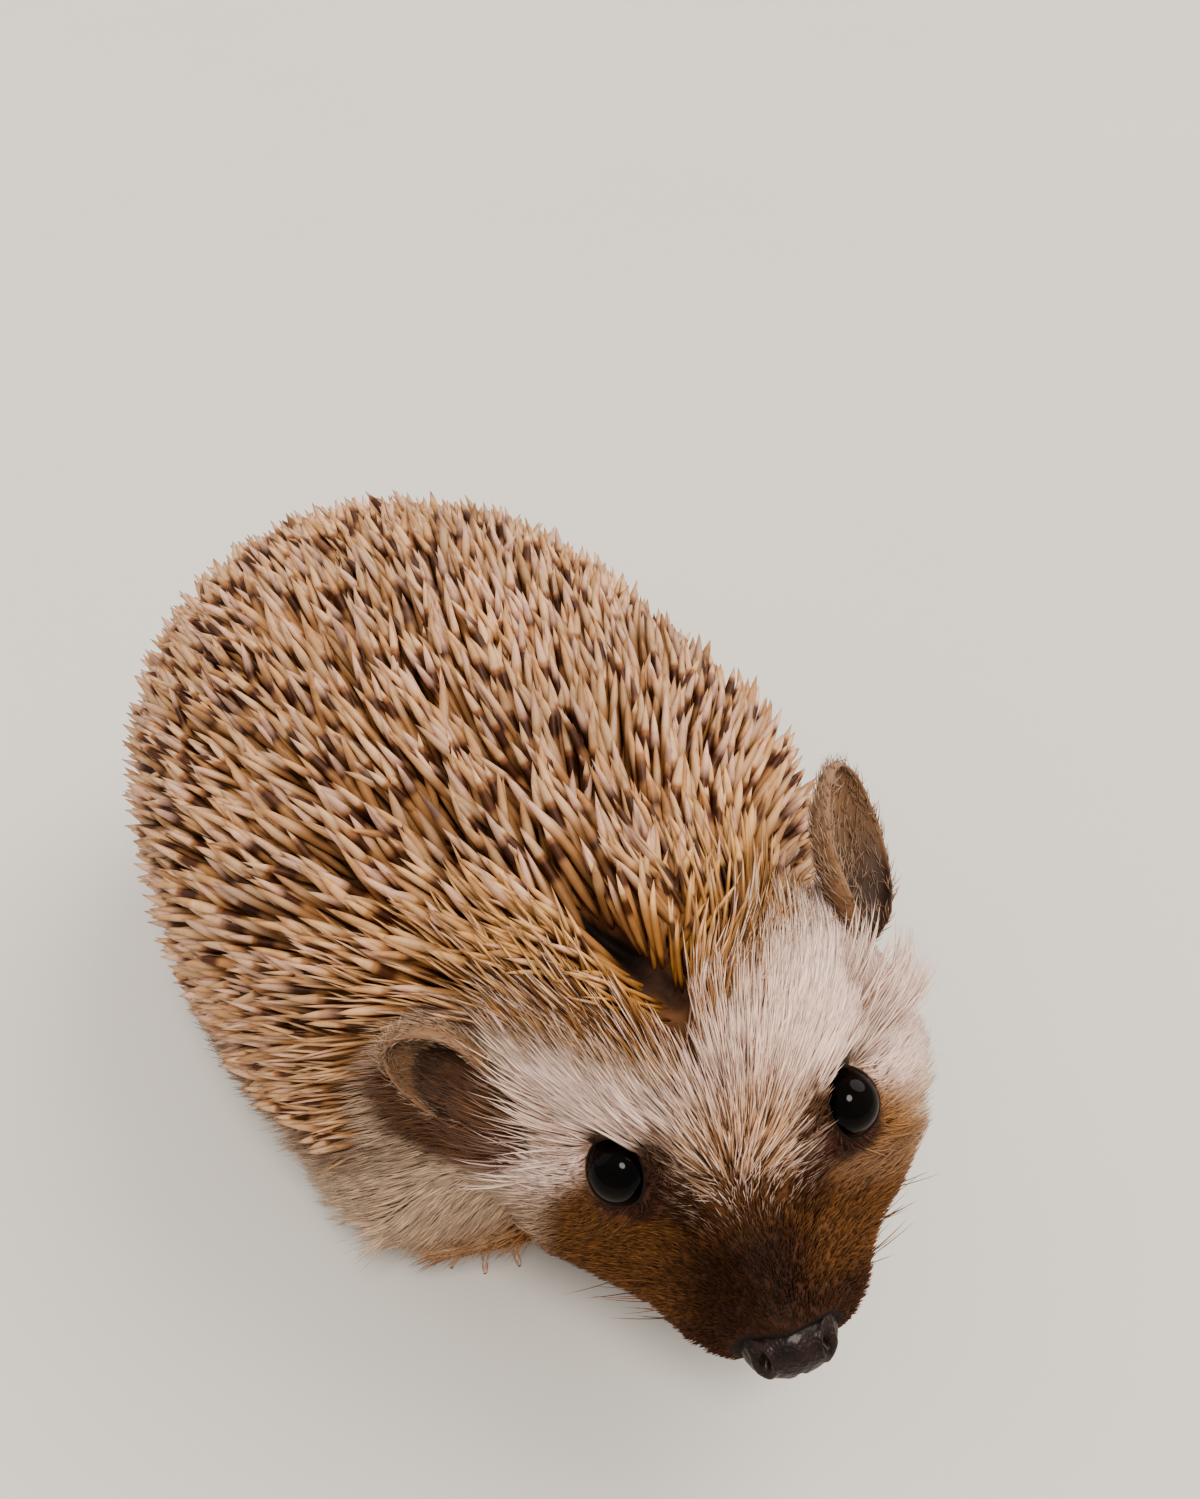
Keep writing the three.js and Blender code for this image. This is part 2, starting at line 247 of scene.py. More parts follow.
# The head has its own measure, from between the eyes: side (to its left), front (to the nose) and up.
headShape = {
    "noseDrop": 20.45,  # degrees that the nose lies below the head's level
    "noseRadii": (4.7, 3.4, 3.3),
    "fanRoot": (-0.8, 4.5, -3.0),  # where the hair of the forehead fans out from
}
eyeMiddle = {side: middleOf(f"eye_{side}") for side in handOf}
noseMiddle = middleOf("nose")
headMiddle = (eyeMiddle["left"] + eyeMiddle["right"]) / 2
headSide = unit(eyeMiddle["left"] - eyeMiddle["right"])
toNose = squareTo(noseMiddle - headMiddle, headSide)
overNose = np.cross(toNose, headSide)
overNose *= np.sign(overNose[2])
noseDrop = math.radians(headShape["noseDrop"])
headFront = math.cos(noseDrop) * toNose + math.sin(noseDrop) * overNose
headUp = math.cos(noseDrop) * overNose - math.sin(noseDrop) * toNose
headAxes = np.array([headSide, headFront, headUp])
noseRadii = np.array(headShape["noseRadii"])


def inHead(points):
    return (np.atleast_2d(points) - headMiddle) @ headAxes.T


def fromHead(point):
    return headMiddle + np.asarray(point, float) @ headAxes


def wayFor(side, way):  # a direction that is given for the left side, for either side
    return unit(np.array(way) * (handOf[side], 1, 1) @ headAxes)


def noseShare(points):  # 1 on the nose pad's surface
    return np.linalg.norm((points - noseMiddle) @ headAxes.T / noseRadii, axis=-1)


fanRoot = fromHead(headShape["fanRoot"])

earPlan = {  # thin cups; heights go from -1 at an ear's root to 1 at its tip
    "left": {"root": (18.6, -11.5, 1.7), "tip": (21.4, -31.5, 5.7), "open": (0.75, 0.35, 0.55)},
    "right": {"root": (-19.8, -7.7, -1.3), "tip": (-29.8, -17.1, 2.5), "open": (-0.35, 0.8, 0.35)},
    "width": 6.0, "depth": 3.4, "wrap": 104.0,  # the last says how far the cup closes, in degrees
    "wall": (0.9, 0.42),  # at the bottom of the cup and at its rim
    "around": 64, "rings": 22, "rimRing": (1.03, 0.5),
    "waist": 0.6, "waistHeight": (-1, -0.15), "taper": 0.1, "taperHeight": (0.45, 1),
    "flare": 0.5, "flareBack": 0.25, "flareFrom": (0.75, 1), "flareHeight": (-0.5, 0.3),
    "fold": 0.42, "foldLean": 0.2, "foldPlace": (0.28, 0.13), "foldHeight": (-0.8, -0.3, 0.2, 0.6),
    "hollow": 0.21, "hollowPlace": (-0.1, 0.12), "hollowHeight": (-0.2, 0.4),
    "stalk": 3.2, "stalkHeight": (-1, -0.5), "stalkTo": (0, -10, -5),
    "wrinkle": (0.10, 2.6, 5), "waver": (0.3, 7, 4),
    "rim": (0.82, 1.0), "rimHeight": (-0.3, 0.4), "high": (-0.3, 0.9),  # where these two marks fade in
}
earRoot = {side: fromHead(earPlan[side]["root"]) for side in handOf}
earSurface = {}
earShells = []


def earRing(tall, t, inner):  # a ring of the cup: t is 1 at the rim, inner is 1 on the inner face
    plan = earPlan
    angle = np.arange(plan["around"]) * 2 * math.pi / plan["around"]
    theta = math.radians(plan["wrap"]) * t
    wall = mixed(*plan["wall"], t) * inner
    x = (plan["width"] - wall) * math.sin(theta) * np.cos(angle)
    y = (tall - wall) * math.sin(theta) * np.sin(angle)
    height = y / tall
    x = x * mixed(plan["waist"], 1, ramp(height, *plan["waistHeight"]))
    x = x * (1 - plan["taper"] * ramp(height, *plan["taperHeight"]))
    roll = ramp(t, *plan["flareFrom"]) * ramp(height, *plan["flareHeight"])
    x = x + plan["flare"] * roll * np.cos(angle)
    z = -(plan["depth"] - wall) * math.cos(theta) - plan["flareBack"] * roll
    aside = x / plan["width"]
    fold = bell(aside + plan["foldLean"] * height, *plan["foldPlace"]) * within(height, *plan["foldHeight"])
    hollow = bell(aside, *plan["hollowPlace"]) * fading(height, *plan["hollowHeight"])
    z = z + inner * (plan["fold"] * fold - plan["hollow"] * hollow)
    return x, y, z, height


def buildEar(name, material):
    plan = earPlan
    root, tip = (fromHead(plan[name][end]) for end in ("root", "tip"))
    along = unit(tip - root)
    facing = squareTo(np.array(plan[name]["open"]) @ headAxes, along)
    wide = np.cross(along, facing)
    tall = np.linalg.norm(tip - root) / 2
    inward = unit(fromHead(plan["stalkTo"]) - root)
    steps = np.linspace(0, 1, plan["rings"] + 1)[1:]
    shells = [(t, 0.0) for t in steps] + [plan["rimRing"]] + [(t, 1.0) for t in steps[::-1]]
    points, marks = [], {"rim": [], "cup": [], "high": []}
    for t, inner in shells:
        x, y, z, height = earRing(tall, t, inner)
        made = (root + tip) / 2 + x[:, None] * wide + y[:, None] * along + z[:, None] * facing
        points.append(made + inward * (plan["stalk"] * fading(height, *plan["stalkHeight"]))[:, None])
        marks["rim"].append(ramp(t, *plan["rim"]) * ramp(height, *plan["rimHeight"]))
        marks["cup"].append(np.full(len(height), inner))
        marks["high"].append(ramp(height, *plan["high"]))
    points = np.concatenate(points)
    around, last = plan["around"], len(points)
    faces = ringQuads(len(shells), around) + [range(around)[::-1], range(last - around, last)]
    points = points + waver(points, plan["wrinkle"])[:, None] * facing
    points = points + waver(points, plan["waver"])[:, None] * wide
    ear = newPiece(f"ear_{name}_skin", points, faces)
    ear.data.materials.append(material)
    addValues(ear.data, {mark: np.concatenate(rows) for mark, rows in marks.items()})
    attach(ear, "root")
    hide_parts(f"ear_{name}")
    _, triangles = meshArrays(ear.data)
    earSurface[name] = {"points": points, "triangles": triangles, "along": along}
    earShells.append(surfaceTree(points, triangles))


# Where each kind of coat grows, in millimetres of the head's own measure. A pair is where a share
# starts and where it is whole.
coatMap = {
    "hairline": {  # spines start behind a V over the eyes, and come forward again below the ears
        "start": 4.0, "middle": -5.0, "round": 2.0, "slope": 0.72, "reach": 18.0,
        "cheekReach": 22.0, "cheekSlope": 1.3, "soft": (-1.4, 1.4), "waver": (0.6, 6, 7),
    },
    "skirt": {  # height of the lowest spines, at the rump and at the shoulder
        "height": (16.5, 22.6), "rise": (-12, 20), "soft": (-1.5, 2), "waver": (1.2, 17, 3),
    },
    "gold": {"behind": (-2.5, 1.5, 9, 19), "up": (-10, -4), "outer": 0.25, "outerFrom": (16, 26)},
    "mask": {
        "middle": (-1.2, 12.0, -6.0), "radii": (19.0, 12.7, 13.0), "edge": (0.93, 1.17), "square": 4,
        "leftBack": 1.2, "leftFrom": (6, 14), "waver": (0.5, 5, 1),
    },
    "notch": {"width": (3.2, 7.0), "end": (3.0, 6.5), "up": (-3, 0)},  # pale wedge between the eyes
    # painted light: the left cheek, where the light falls, gets a paler mask in the chin's colour
    "litLeftCheek": {"side": (5, 13), "front": (3, 9), "mask": 0.38, "chin": 0.9},  # on the left
    "chin": {"up": (-13, -9), "front": (-2, 3)},
    "fan": {"width": (2.0, 9.0), "up": (-2, 1.5), "end": (5, 9), "least": 0.12, "full": (-5, 3)},
    "pale": {
        "end": (-2.8, 0.6),  # the pale brow ends this far from the hairline
        "middle": 0.8, "middleBack": (-2.5, 2.0), "sideBack": (-2.5, 1.0), "width": (2.5, 7.5),
        # near the right ear the brow is less pale, partly golden-brown hair and partly painted shade
        "up": (-12, -2), "rightEarShade": 0.5, "rightFrom": (14, 21), "rightUp": (0, 4),
    },
    "eyeRing": {"radius": (3.9, 5.1), "inward": 0.9, "ahead": 1.2, "mask": 0.9, "waver": (0.45, 2.6, 9)},
    "tear": {  # dark streak from each eye's inner corner
        "ends": ((7.5, 1.1), (4.6, 9.5)), "width": (0.875, 2.5), "up": (-7, -3), "mask": 0.9,
        "dusk": ((0, 0.3, 0.55, 1), (0.65, 0.8, 0.85, 0.4)), "waver": (0.4, 3, 5),
    },
    "muzzle": {"front": (5.5, 11), "tip": (11.5, 16), "middle": -2.5, "width": (3.5, 9.0), "beside": 0.2},
    "hem": {  # brown band under the lowest spines, partly brown fur and partly painted shade under their edge
        "share": 0.75, "below": 1.5, "width": (1.2, 4.0), "behind": (7, 12), "back": (-8, 8),
    },
    "earShade": (  # brown patches about the ears, partly brown fur and partly painted shade under the right ear and in the left ear's hollow: place, and where they start and stop fading
        ((-24.8, -9.8, 0.2), 5.4, 8.6), ((-27.0, -9.5, -5.0), 6.0, 9.5), ((20.5, -17.5, 4.5), 3.5, 6.5),
    ),
    "belly": (6, 12),
    "parting": {  # side and front of its two ends, and how wide it is from one to the other
        "ends": ((-2.4, -10.0), (-9.9, -26.5)), "width": 2.45,
        "narrowing": ((0, 0.25, 0.6, 1), (0.5, 0.9, 0.82, 0.35)), "edge": (0.6, 1.05), "up": (2, 6),
        "light": 0.5, "darkFrom": (0.1, 0.55),  # painted shade: its front end shows brown skin, the rest is painted dark as the shade in a deep slit
    },
}
coatMarks = ("mask", "ring", "gold", "dusk", "chin", "belly", "fan", "rustShade", "lip")  # on skin and coat alike


def alongLine(flat, ends):  # how far along a line, and how far off it to which side
    start, end = np.array(ends, float)
    along = end - start
    t = np.clip((flat - start) @ along / (along @ along), 0, 1)
    off = flat - start - t[:, None] * along
    across = np.array([along[1], -along[0]]) / np.linalg.norm(along)
    return t, np.linalg.norm(off, axis=1), np.sign(off @ across)


def pastHairline(side, front):  # distance behind the line where the spines start
    line = coatMap["hairline"]
    away = np.hypot(side - line["middle"], line["round"]) - line["round"]
    back = line["slope"] * np.minimum(away, line["reach"])
    back -= line["cheekSlope"] * np.clip(away - line["cheekReach"], 0, None)
    return -front - line["start"] - back


def partingAt(side, front, up):  # share of bare skin in the parting, distance off its line, and side
    plan = coatMap["parting"]
    t, off, hand = alongLine(np.stack([side, front], 1), plan["ends"])
    width = plan["width"] * np.interp(t, *plan["narrowing"])
    start, end = plan["edge"]
    return fading(off, width * start, width * end) * ramp(up, *plan["up"]), off, hand, width


def partingShade(side, front):
    plan = coatMap["parting"]
    t = alongLine(np.stack([side, front], 1), plan["ends"])[0]
    return mixed(plan["light"], 1.0, ramp(t, *plan["darkFrom"]))


def maskAt(points, side, front, up):  # the brown mask and the chin under it
    plan, notch, light, chin = (coatMap[k] for k in ("mask", "notch", "litLeftCheek", "chin"))
    back = plan["leftBack"] * ramp(side, *plan["leftFrom"])
    away = np.stack([side, front + back, up], 1) - plan["middle"]
    away = (away + waver(points, plan["waver"])[:, None]) / plan["radii"]
    mask = fading((away ** plan["square"]).sum(1) ** (1 / plan["square"]), *plan["edge"])
    wedge = fading(np.abs(side), *notch["width"]) * fading(front, *notch["end"]) * ramp(up, *notch["up"])
    mask = mask * (1 - wedge)
    # painted light: the mask on the left cheek is made paler, as if lit
    litShare = ramp(side, *light["side"]) * fading(front, *light["front"])
    under = fading(up, *chin["up"]) * ramp(front, *chin["front"])
    return mask * mixed(1, light["mask"], litShare), np.maximum(under, light["chin"] * mask * litShare)


def tearAt(points, across, front, up):  # the streak's share, and how dark it is
    plan = coatMap["tear"]
    t, off, _ = alongLine(np.stack([across, front], 1), plan["ends"])
    share = fading(off + waver(points, plan["waver"]), *plan["width"]) * ramp(up, *plan["up"])
    return share, np.interp(t, *plan["dusk"]) * share


# brown fur with painted shade below the lowest spines and about the ears
def rustShadeAt(points, front, overSkirt):
    hem = coatMap["hem"]
    rustShade = hem["share"] * fading(np.abs(overSkirt + hem["below"]), *hem["width"])
    rustShade = rustShade * ramp(-front, *hem["behind"]) * ramp(-points[:, 1], *hem["back"])
    for place, full, none in coatMap["earShade"]:
        rustShade = np.maximum(rustShade, fading(distance(points, fromHead(place)), full, none))
    return rustShade


def paleness(places):
    plan = coatMap["pale"]
    middle = plan["middle"] * ramp(-places["front"], *plan["middleBack"])
    wedge = mixed(middle, ramp(-places["front"], *plan["sideBack"]), ramp(places["across"], *plan["width"]))
    brow = wedge * fading(places["past"], *plan["end"]) * ramp(places["up"], *plan["up"])
    nearEar = ramp(-places["side"], *plan["rightFrom"]) * ramp(places["up"], *plan["rightUp"])
    return brow * mixed(1, plan["rightEarShade"], nearEar)


def regionsAt(points):
    side, front, up = inHead(points).T
    across = np.abs(side)
    y, z = points[:, 1], points[:, 2]
    line, skirt, gold, fan, eyeRing, muzzle = (
        coatMap[k] for k in ("hairline", "skirt", "gold", "fan", "eyeRing", "muzzle")
    )
    overSkirt = z - mixed(*skirt["height"], ramp(-y, *skirt["rise"]))
    past = pastHairline(side, front) + waver(points, line["waver"])
    behind = ramp(past, *line["soft"])
    goldShare = within(past, *gold["behind"]) * mixed(1, gold["outer"], ramp(across, *gold["outerFrom"]))
    fanShare = fading(across, *fan["width"]) * (1 - behind) * ramp(up, *fan["up"])
    fanShare = fanShare * fading(front, *fan["end"]) * mixed(fan["least"], 1, ramp(front, *fan["full"]))
    eyeGap, ringGap = np.full((2, len(points)), 99.0)
    for name, hand in handOf.items():
        ringMiddle = eyeMiddle[name] + eyeRing["ahead"] * headFront - hand * eyeRing["inward"] * headSide
        eyeGap = np.minimum(eyeGap, distance(points, eyeMiddle[name]))
        ringGap = np.minimum(ringGap, distance(points, ringMiddle))
    ring = fading(ringGap + waver(points, eyeRing["waver"]), *eyeRing["radius"])
    mask, chin = maskAt(points, side, front, up)
    tear, tearDusk = tearAt(points, across, front, up)
    mask = np.maximum(mask, coatMap["tear"]["mask"] * tear)
    beside = ramp(np.abs(side - muzzle["middle"]), *muzzle["width"])
    dusk = ramp(front, *muzzle["front"]) * mixed(1, muzzle["beside"], beside)
    bare = partingAt(side, front, up)[0]
    return {
        "front": front, "up": up, "across": across, "side": side, "eyeGap": eyeGap, "past": past,
        "skirt": overSkirt,
        "spiny": behind * ramp(overSkirt + waver(points, skirt["waver"]), *skirt["soft"]),
        "mask": np.maximum(mask, ring * eyeRing["mask"]), "ring": ring, "chin": chin,
        "gold": goldShare * ramp(up, *gold["up"]), "fan": fanShare,
        "dusk": np.maximum(np.maximum(tearDusk, dusk) * mask, ramp(front, *muzzle["tip"])),
        "rustShade": rustShadeAt(points, front, overSkirt), "belly": fading(z, *coatMap["belly"]),
        "lip": lipShare(front, up), "bare": bare, "bareSkinShade": bare * partingShade(side, front),
    }


eyePlan = {
    "radius": 3.35, "cornea": 0.3, "corneaEdge": (0.45, 0.95), "gaze": (0.28, 0.24, 0.9),
    "long": 70.0, "short": 48.0, "corner": 7.0, "cornerSharp": 8,  # half angles of the lids' opening
    "backing": 3.75, "backingAhead": 0.7,  # a ball of flesh that the lids are formed on
    # Along an edge, 1 is where the lids end, less is inside the opening and more is outside.
    "inside": -0.9, "insideEdge": (0.86, 1.0), "atBall": 0.05, "rim": 0.16, "rimEdge": (0.97, 1.07),
    "fold": 0.18, "foldLines": ((1.22, 0.06), (1.36, 0.08)), "blend": (1.12, 1.5), "reach": 4.5,
    "dark": (1.04, 1.15), "darkReach": 1.2,
    "lidWay": (-0.62, -0.78, 0), "lidSpread": (0.45, 0.85), "lidEdge": (1.03, 1.1, 1.35, 1.5),
    "lidReach": (1.6, 2.4), "lidFold": (0.5, 1.5), "rightLid": 0.6,
}


def axesOfEye(side):
    gaze = wayFor(side, eyePlan["gaze"])
    slit = squareTo(headFront, gaze)
    return slit, np.cross(gaze, slit), gaze


def openingOf(name, points):  # 1 on the edge of the lids, less inside, more outside
    slit, across, gaze = axesOfEye(name)
    d = unit(points - eyeMiddle[name])
    off = np.degrees(np.arccos(np.clip(d @ gaze, -1, 1)))
    around = np.arctan2(d @ across, d @ slit)
    long = eyePlan["long"] + eyePlan["corner"] * np.clip(np.cos(around), 0, 1) ** eyePlan["cornerSharp"]
    return off * np.hypot(np.cos(around) / long, np.sin(around) / eyePlan["short"])


def lidAt(name, points):  # the bare upper lid, on the inner side of each eye towards the back
    _, _, gaze = axesOfEye(name)
    away = points - eyeMiddle[name]
    toLid = squareTo(away, gaze) @ wayFor(name, eyePlan["lidWay"])
    start, end = eyePlan["lidReach"]
    near = fading(np.linalg.norm(away, axis=1), eyePlan["radius"] + start, eyePlan["radius"] + end)
    return near * ramp(toLid, *eyePlan["lidSpread"]) * within(openingOf(name, points), *eyePlan["lidEdge"])


def sculptEye(points, name):
    centre, ball = eyeMiddle[name], eyePlan["radius"]
    far = distance(points, centre)
    near = far < ball + eyePlan["reach"]
    d, start = unit(points[near] - centre), far[near]
    e = openingOf(name, points[near])
    length = mixed(ball + eyePlan["inside"], ball + eyePlan["atBall"], ramp(e, *eyePlan["insideEdge"]))
    length = mixed(length, ball + eyePlan["rim"], ramp(e, *eyePlan["rimEdge"]))
    fold = eyePlan["fold"] * mixed(*eyePlan["lidFold"], lidAt(name, points[near]))
    groove, ridge = (bell(e, *line) for line in eyePlan["foldLines"])
    length = mixed(length - fold * (groove - ridge), start, ramp(e, *eyePlan["blend"]))
    made = points.copy()
    made[near] = centre + d * length[:, None]
    return made


facePlan = {
    "mouth": {
        "up": -11.4, "front": 4.7, "rise": 4.0, "depth": 0.7, "width": 0.33, "corner": 1.5, "fade": 1.5,
    },
    "lip": {"over": 1.0, "fold": 0.25, "width": 0.6, "colourWidth": 1.5, "colourFade": 1.0},
    "roundFrom": 2.0, "roundness": 0.6,  # the muzzle swells outwards from a line between its sides
    "tear": {
        "side": (7.6, 5.0), "run": (3, 11), "front": (1.5, 4, 8, 12), "up": (-6, -1), "width": 0.8,
        "depth": 0.45,
    },
}


def mouthLevel(front):
    mouth = facePlan["mouth"]
    return mouth["up"] + (front - mouth["front"]) * math.tan(math.radians(mouth["rise"]))


def lipShare(front, up):
    lip, corner = facePlan["lip"], facePlan["mouth"]["corner"]
    near = bell(up - mouthLevel(front), lip["over"], lip["colourWidth"])
    return near * ramp(front, corner - lip["colourFade"], corner + lip["colourFade"])


def sculptFace(points):
    mouth, lip, tear = (facePlan[k] for k in ("mouth", "lip", "tear"))
    side, front, up = inHead(points).T
    # the mouth: a groove round the muzzle with a soft lip over it
    height = up - mouthLevel(front)
    swell = lip["fold"] * bell(height, lip["over"], lip["width"])
    swell = swell - mouth["depth"] * bell(height, 0, mouth["width"])
    swell = swell * ramp(front, mouth["corner"], mouth["corner"] + mouth["fade"])
    ahead = (front - facePlan["roundFrom"]) * facePlan["roundness"]
    outwards = unit(np.stack([side, ahead, np.zeros(len(side))], 1)) @ headAxes
    made = points + outwards * swell[:, None]
    # the fold from each eye's inner corner down the muzzle
    for hand in handOf.values():
        off = side * hand - mixed(*tear["side"], ramp(front, *tear["run"]))
        fold = bell(off, 0, tear["width"]) * within(front, *tear["front"]) * ramp(up, *tear["up"])
        made -= headUp * (fold * tear["depth"])[:, None]
    for name in handOf:
        made = sculptEye(made, name)
    return made


skinPlan = {
    "flesh": ["trunk", "neck", "head", "snout", "lower_jaw", "tail"]
    + [f"{pair}{part}_{side}" for pair in ("fore", "hind") for part in ("leg", "foot") for side in handOf],
    "limbs": ("foot", "leg", "tail"), "limbsBelow": 22, "limbsBehind": 45,
    "swell": 0.2,  # closes the thin cuts between the solids
    "voxel": 0.5, "noseCore": 0.8,
    "relax": (0.2, 0.5), "relaxHeight": (2.5, 5),  # gentler on the toes
    "fine": {"front": -7.0, "up": -17.0, "across": 18.0},  # the face, which gets finer faces
    "depth": {  # how deep the skin lies under the tips of the coat
        "spines": 8.0, "crown": 3.6, "brow": 1.7, "mask": 0.75, "cheek": 3.0, "skirt": 3.6, "leg": 1.0,
        "foot": 0.12, "tail": 0.6, "nose": 0.1, "ear": 1.0, "parting": 2.2, "eye": 0.3,
    },
    "turn": {  # where one depth turns into another
        "skirt": (-6, 2), "browUp": (-4, 3), "browFront": (-14, -9), "crownBack": (10, 22),
        "muzzleFront": (4, 8), "muzzleUp": (-17, -12), "nose": (1.1, 1.9), "ear": (4, 10), "eye": (4.5, 8),
    },
    "limbShare": 1.3, "outwardFrom": (1, 4), "evenFrom": (1.2, 3), "noseRim": (1.08, 1.25),
    "rounds": {"relax": 5, "outer": 2, "limbs": 6, "outward": 12, "depth": 4, "inner": 12},  # of smoothing
}
toePlan = {"long": 2.5, "wide": 1.12, "tall": 1.08, "overClaw": 0.75, "hub": 0.25}


def toeBalls():  # a toe from each foot out over the root of its claw
    balls = []
    for foot in (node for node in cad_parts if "foot" in node and "claw" not in node):
        claws = np.array([middleOf(node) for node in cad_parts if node.startswith(foot + "_claw")])
        hub = middleOf(foot) + toePlan["hub"] * (middleOf(foot) - claws.mean(0))
        for claw in claws:
            along = unit((claw - hub) * (1, 1, 0))
            axes = np.array([along, (-along[1], along[0], 0), (0, 0, 1)])
            centre = claw - along * (toePlan["overClaw"] + toePlan["long"])
            centre[2] = toePlan["tall"]
            balls.append(ballArrays(centre, (toePlan["long"], toePlan["wide"], toePlan["tall"]), axes))
    return balls


def refineFace(skin):
    fine = skinPlan["fine"]
    bm = bmesh.new()
    bm.from_mesh(skin.data)
    across, front, up = inHead(np.array([f.calc_center_median() for f in bm.faces]) / mm).T
    chosen = (front > fine["front"]) & (up > fine["up"]) & (np.abs(across) < fine["across"])
    bm.edges.ensure_lookup_table()
    bm.faces.ensure_lookup_table()
    edges = {e for i in np.where(chosen)[0] for e in bm.faces[i].edges}
    bmesh.ops.subdivide_edges(bm, edges=list(edges), cuts=1, use_grid_fill=True)
    bm.to_mesh(skin.data)
    bm.free()


def limbShares(outer, edges, parts, labels):  # which skin belongs to legs, feet and tail
    known = placeTree(np.concatenate([points for points, _ in parts]))
    shares = {kind: np.zeros(len(outer)) for kind in skinPlan["limbs"]}
    near = (outer[:, 2] < skinPlan["limbsBelow"]) | (outer[:, 1] > skinPlan["limbsBehind"])
    for i in np.where(near)[0]:
        kind = labels[known.find(outer[i])[1]]
        if kind in shares:
            shares[kind][i] = 1
    return {kind: smoothed(share, edges, skinPlan["rounds"]["limbs"]) for kind, share in shares.items()}


def skinDepth(outer, places):
    deep, turn = skinPlan["depth"], skinPlan["turn"]
    front, up = places["front"], places["up"]
    layers = [
        (deep["skirt"], fading(places["skirt"], *turn["skirt"])),
        (deep["brow"], ramp(up, *turn["browUp"]) * ramp(front, *turn["browFront"])),
        (mixed(deep["crown"], deep["spines"], ramp(-front, *turn["crownBack"])), places["spiny"]),
        (deep["mask"], places["mask"]),
        (deep["mask"], ramp(front, *turn["muzzleFront"]) * ramp(up, *turn["muzzleUp"])),
    ]
    for kind in ("leg", "foot", "tail"):
        layers.append((deep[kind], np.clip(places[kind] * skinPlan["limbShare"], 0, 1)))
    layers.append((deep["nose"], fading(noseShare(outer), *turn["nose"])))
    layers += [(deep["ear"], fading(distance(outer, earRoot[side]), *turn["ear"])) for side in handOf]
    depth = np.full(len(outer), deep["cheek"])
    for there, share in layers:
        depth = mixed(depth, there, share)
    depth = depth + deep["parting"] * places["bare"]
    return mixed(depth, deep["eye"], fading(places["eyeGap"], *turn["eye"]))


def skinValues(points, places):
    values = {k: places[k] for k in (*coatMarks, "spiny", "bareSkinShade", "leg", "foot", "tail")}
    values["pale"] = paleness(places)
    rim = fading(noseShare(points), *skinPlan["noseRim"])
    for name in handOf:
        close = distance(points, eyeMiddle[name]) < eyePlan["radius"] + eyePlan["darkReach"]
        rim = np.maximum(rim, fading(openingOf(name, points), *eyePlan["dark"]) * close)
    values["rim"] = rim
    values["lid"] = np.maximum(lidAt("left", points), eyePlan["rightLid"] * lidAt("right", points))
    return values


def buildSkin():  # one sheet over all the flesh, with the coat's depth taken off
    rounds = skinPlan["rounds"]
    parts, labels = [], []
    for node in skinPlan["flesh"]:
        points, triangles = meshArrays(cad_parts[node].data)
        parts.append((points + normalsOf(points, triangles) * skinPlan["swell"], triangles))
        labels += [next((kind for kind in skinPlan["limbs"] if kind in node), "body")] * len(points)
    extras = []
    for side in handOf:
        centre = eyeMiddle[side] + axesOfEye(side)[2] * eyePlan["backingAhead"]
        extras.append(ballArrays(centre, np.full(3, eyePlan["backing"])))
    extras.append(ballArrays(noseMiddle, noseRadii * skinPlan["noseCore"], headAxes))
    skin = remeshed("skin", parts + extras + toeBalls(), skinPlan["voxel"])
    report(f"skin remeshed, {len(skin.data.polygons)} faces")
    points, _ = meshArrays(skin.data)
    relax = mixed(*skinPlan["relax"], ramp(points[:, 2], *skinPlan["relaxHeight"]))
    setPoints(skin.data, smoothed(points, edgeArray(skin.data), rounds["relax"], relax))
    refineFace(skin)
    points, triangles = meshArrays(skin.data)
    edges = edgeArray(skin.data)
    outer = smoothed(points, edges, rounds["outer"])
    report(f"face refined, {len(skin.data.polygons)} faces")

    places = regionsAt(outer) | limbShares(outer, edges, parts, labels)
    depth = skinDepth(outer, places)
    turning = ramp(depth, *skinPlan["outwardFrom"])
    outward = unit(smoothed(normalsOf(outer, triangles), edges, rounds["outward"], turning))
    inner = outer - outward * smoothed(depth, edges, rounds["depth"])[:, None]
    evened = 0.5 * ramp(depth, *skinPlan["evenFrom"])
    inner = sculptFace(smoothed(inner, edges, rounds["inner"], evened))
    setPoints(skin.data, inner)
    addValues(skin.data, skinValues(inner, places))
    return skin, {
        "outer": outer, "inner": inner, "triangles": triangles, "normals": normalsOf(inner, triangles),
        "places": places, "depth": depth, "tree": surfaceTree(outer, triangles),
    }


def colour(*screen):  # red, green and blue on a screen, 0 to 255, made values of light
    return (*(((c / 255 + 0.055) / 1.055) ** 2.4 if c > 10 else c / 255 / 12.92 for c in screen), 1)


def addNode(tree, kind, inputs, **settings):
    made = tree.nodes.new("ShaderNode" + kind)
    for key, setting in settings.items():
        setattr(made, key, setting)
    for key, given in inputs.items():
        if isinstance(given, bpy.types.NodeSocket):
            tree.links.new(given, made.inputs[key])
        else:
            made.inputs[key].default_value = given
    return made


def newMaterial(name, sockets):
    material = bpy.data.materials.new(name)
    material.use_nodes = True
    shader = material.node_tree.nodes["Principled BSDF"]
    for key, given in sockets.items():
        shader.inputs[key].default_value = given
    return material, material.node_tree, shader


def sums(tree, operation, a, b, clamp=False):
    return addNode(tree, "Math", {0: a, 1: b}, operation=operation, use_clamp=clamp).outputs[0]


def times(tree, a, b):
    return sums(tree, "MULTIPLY", a, b)


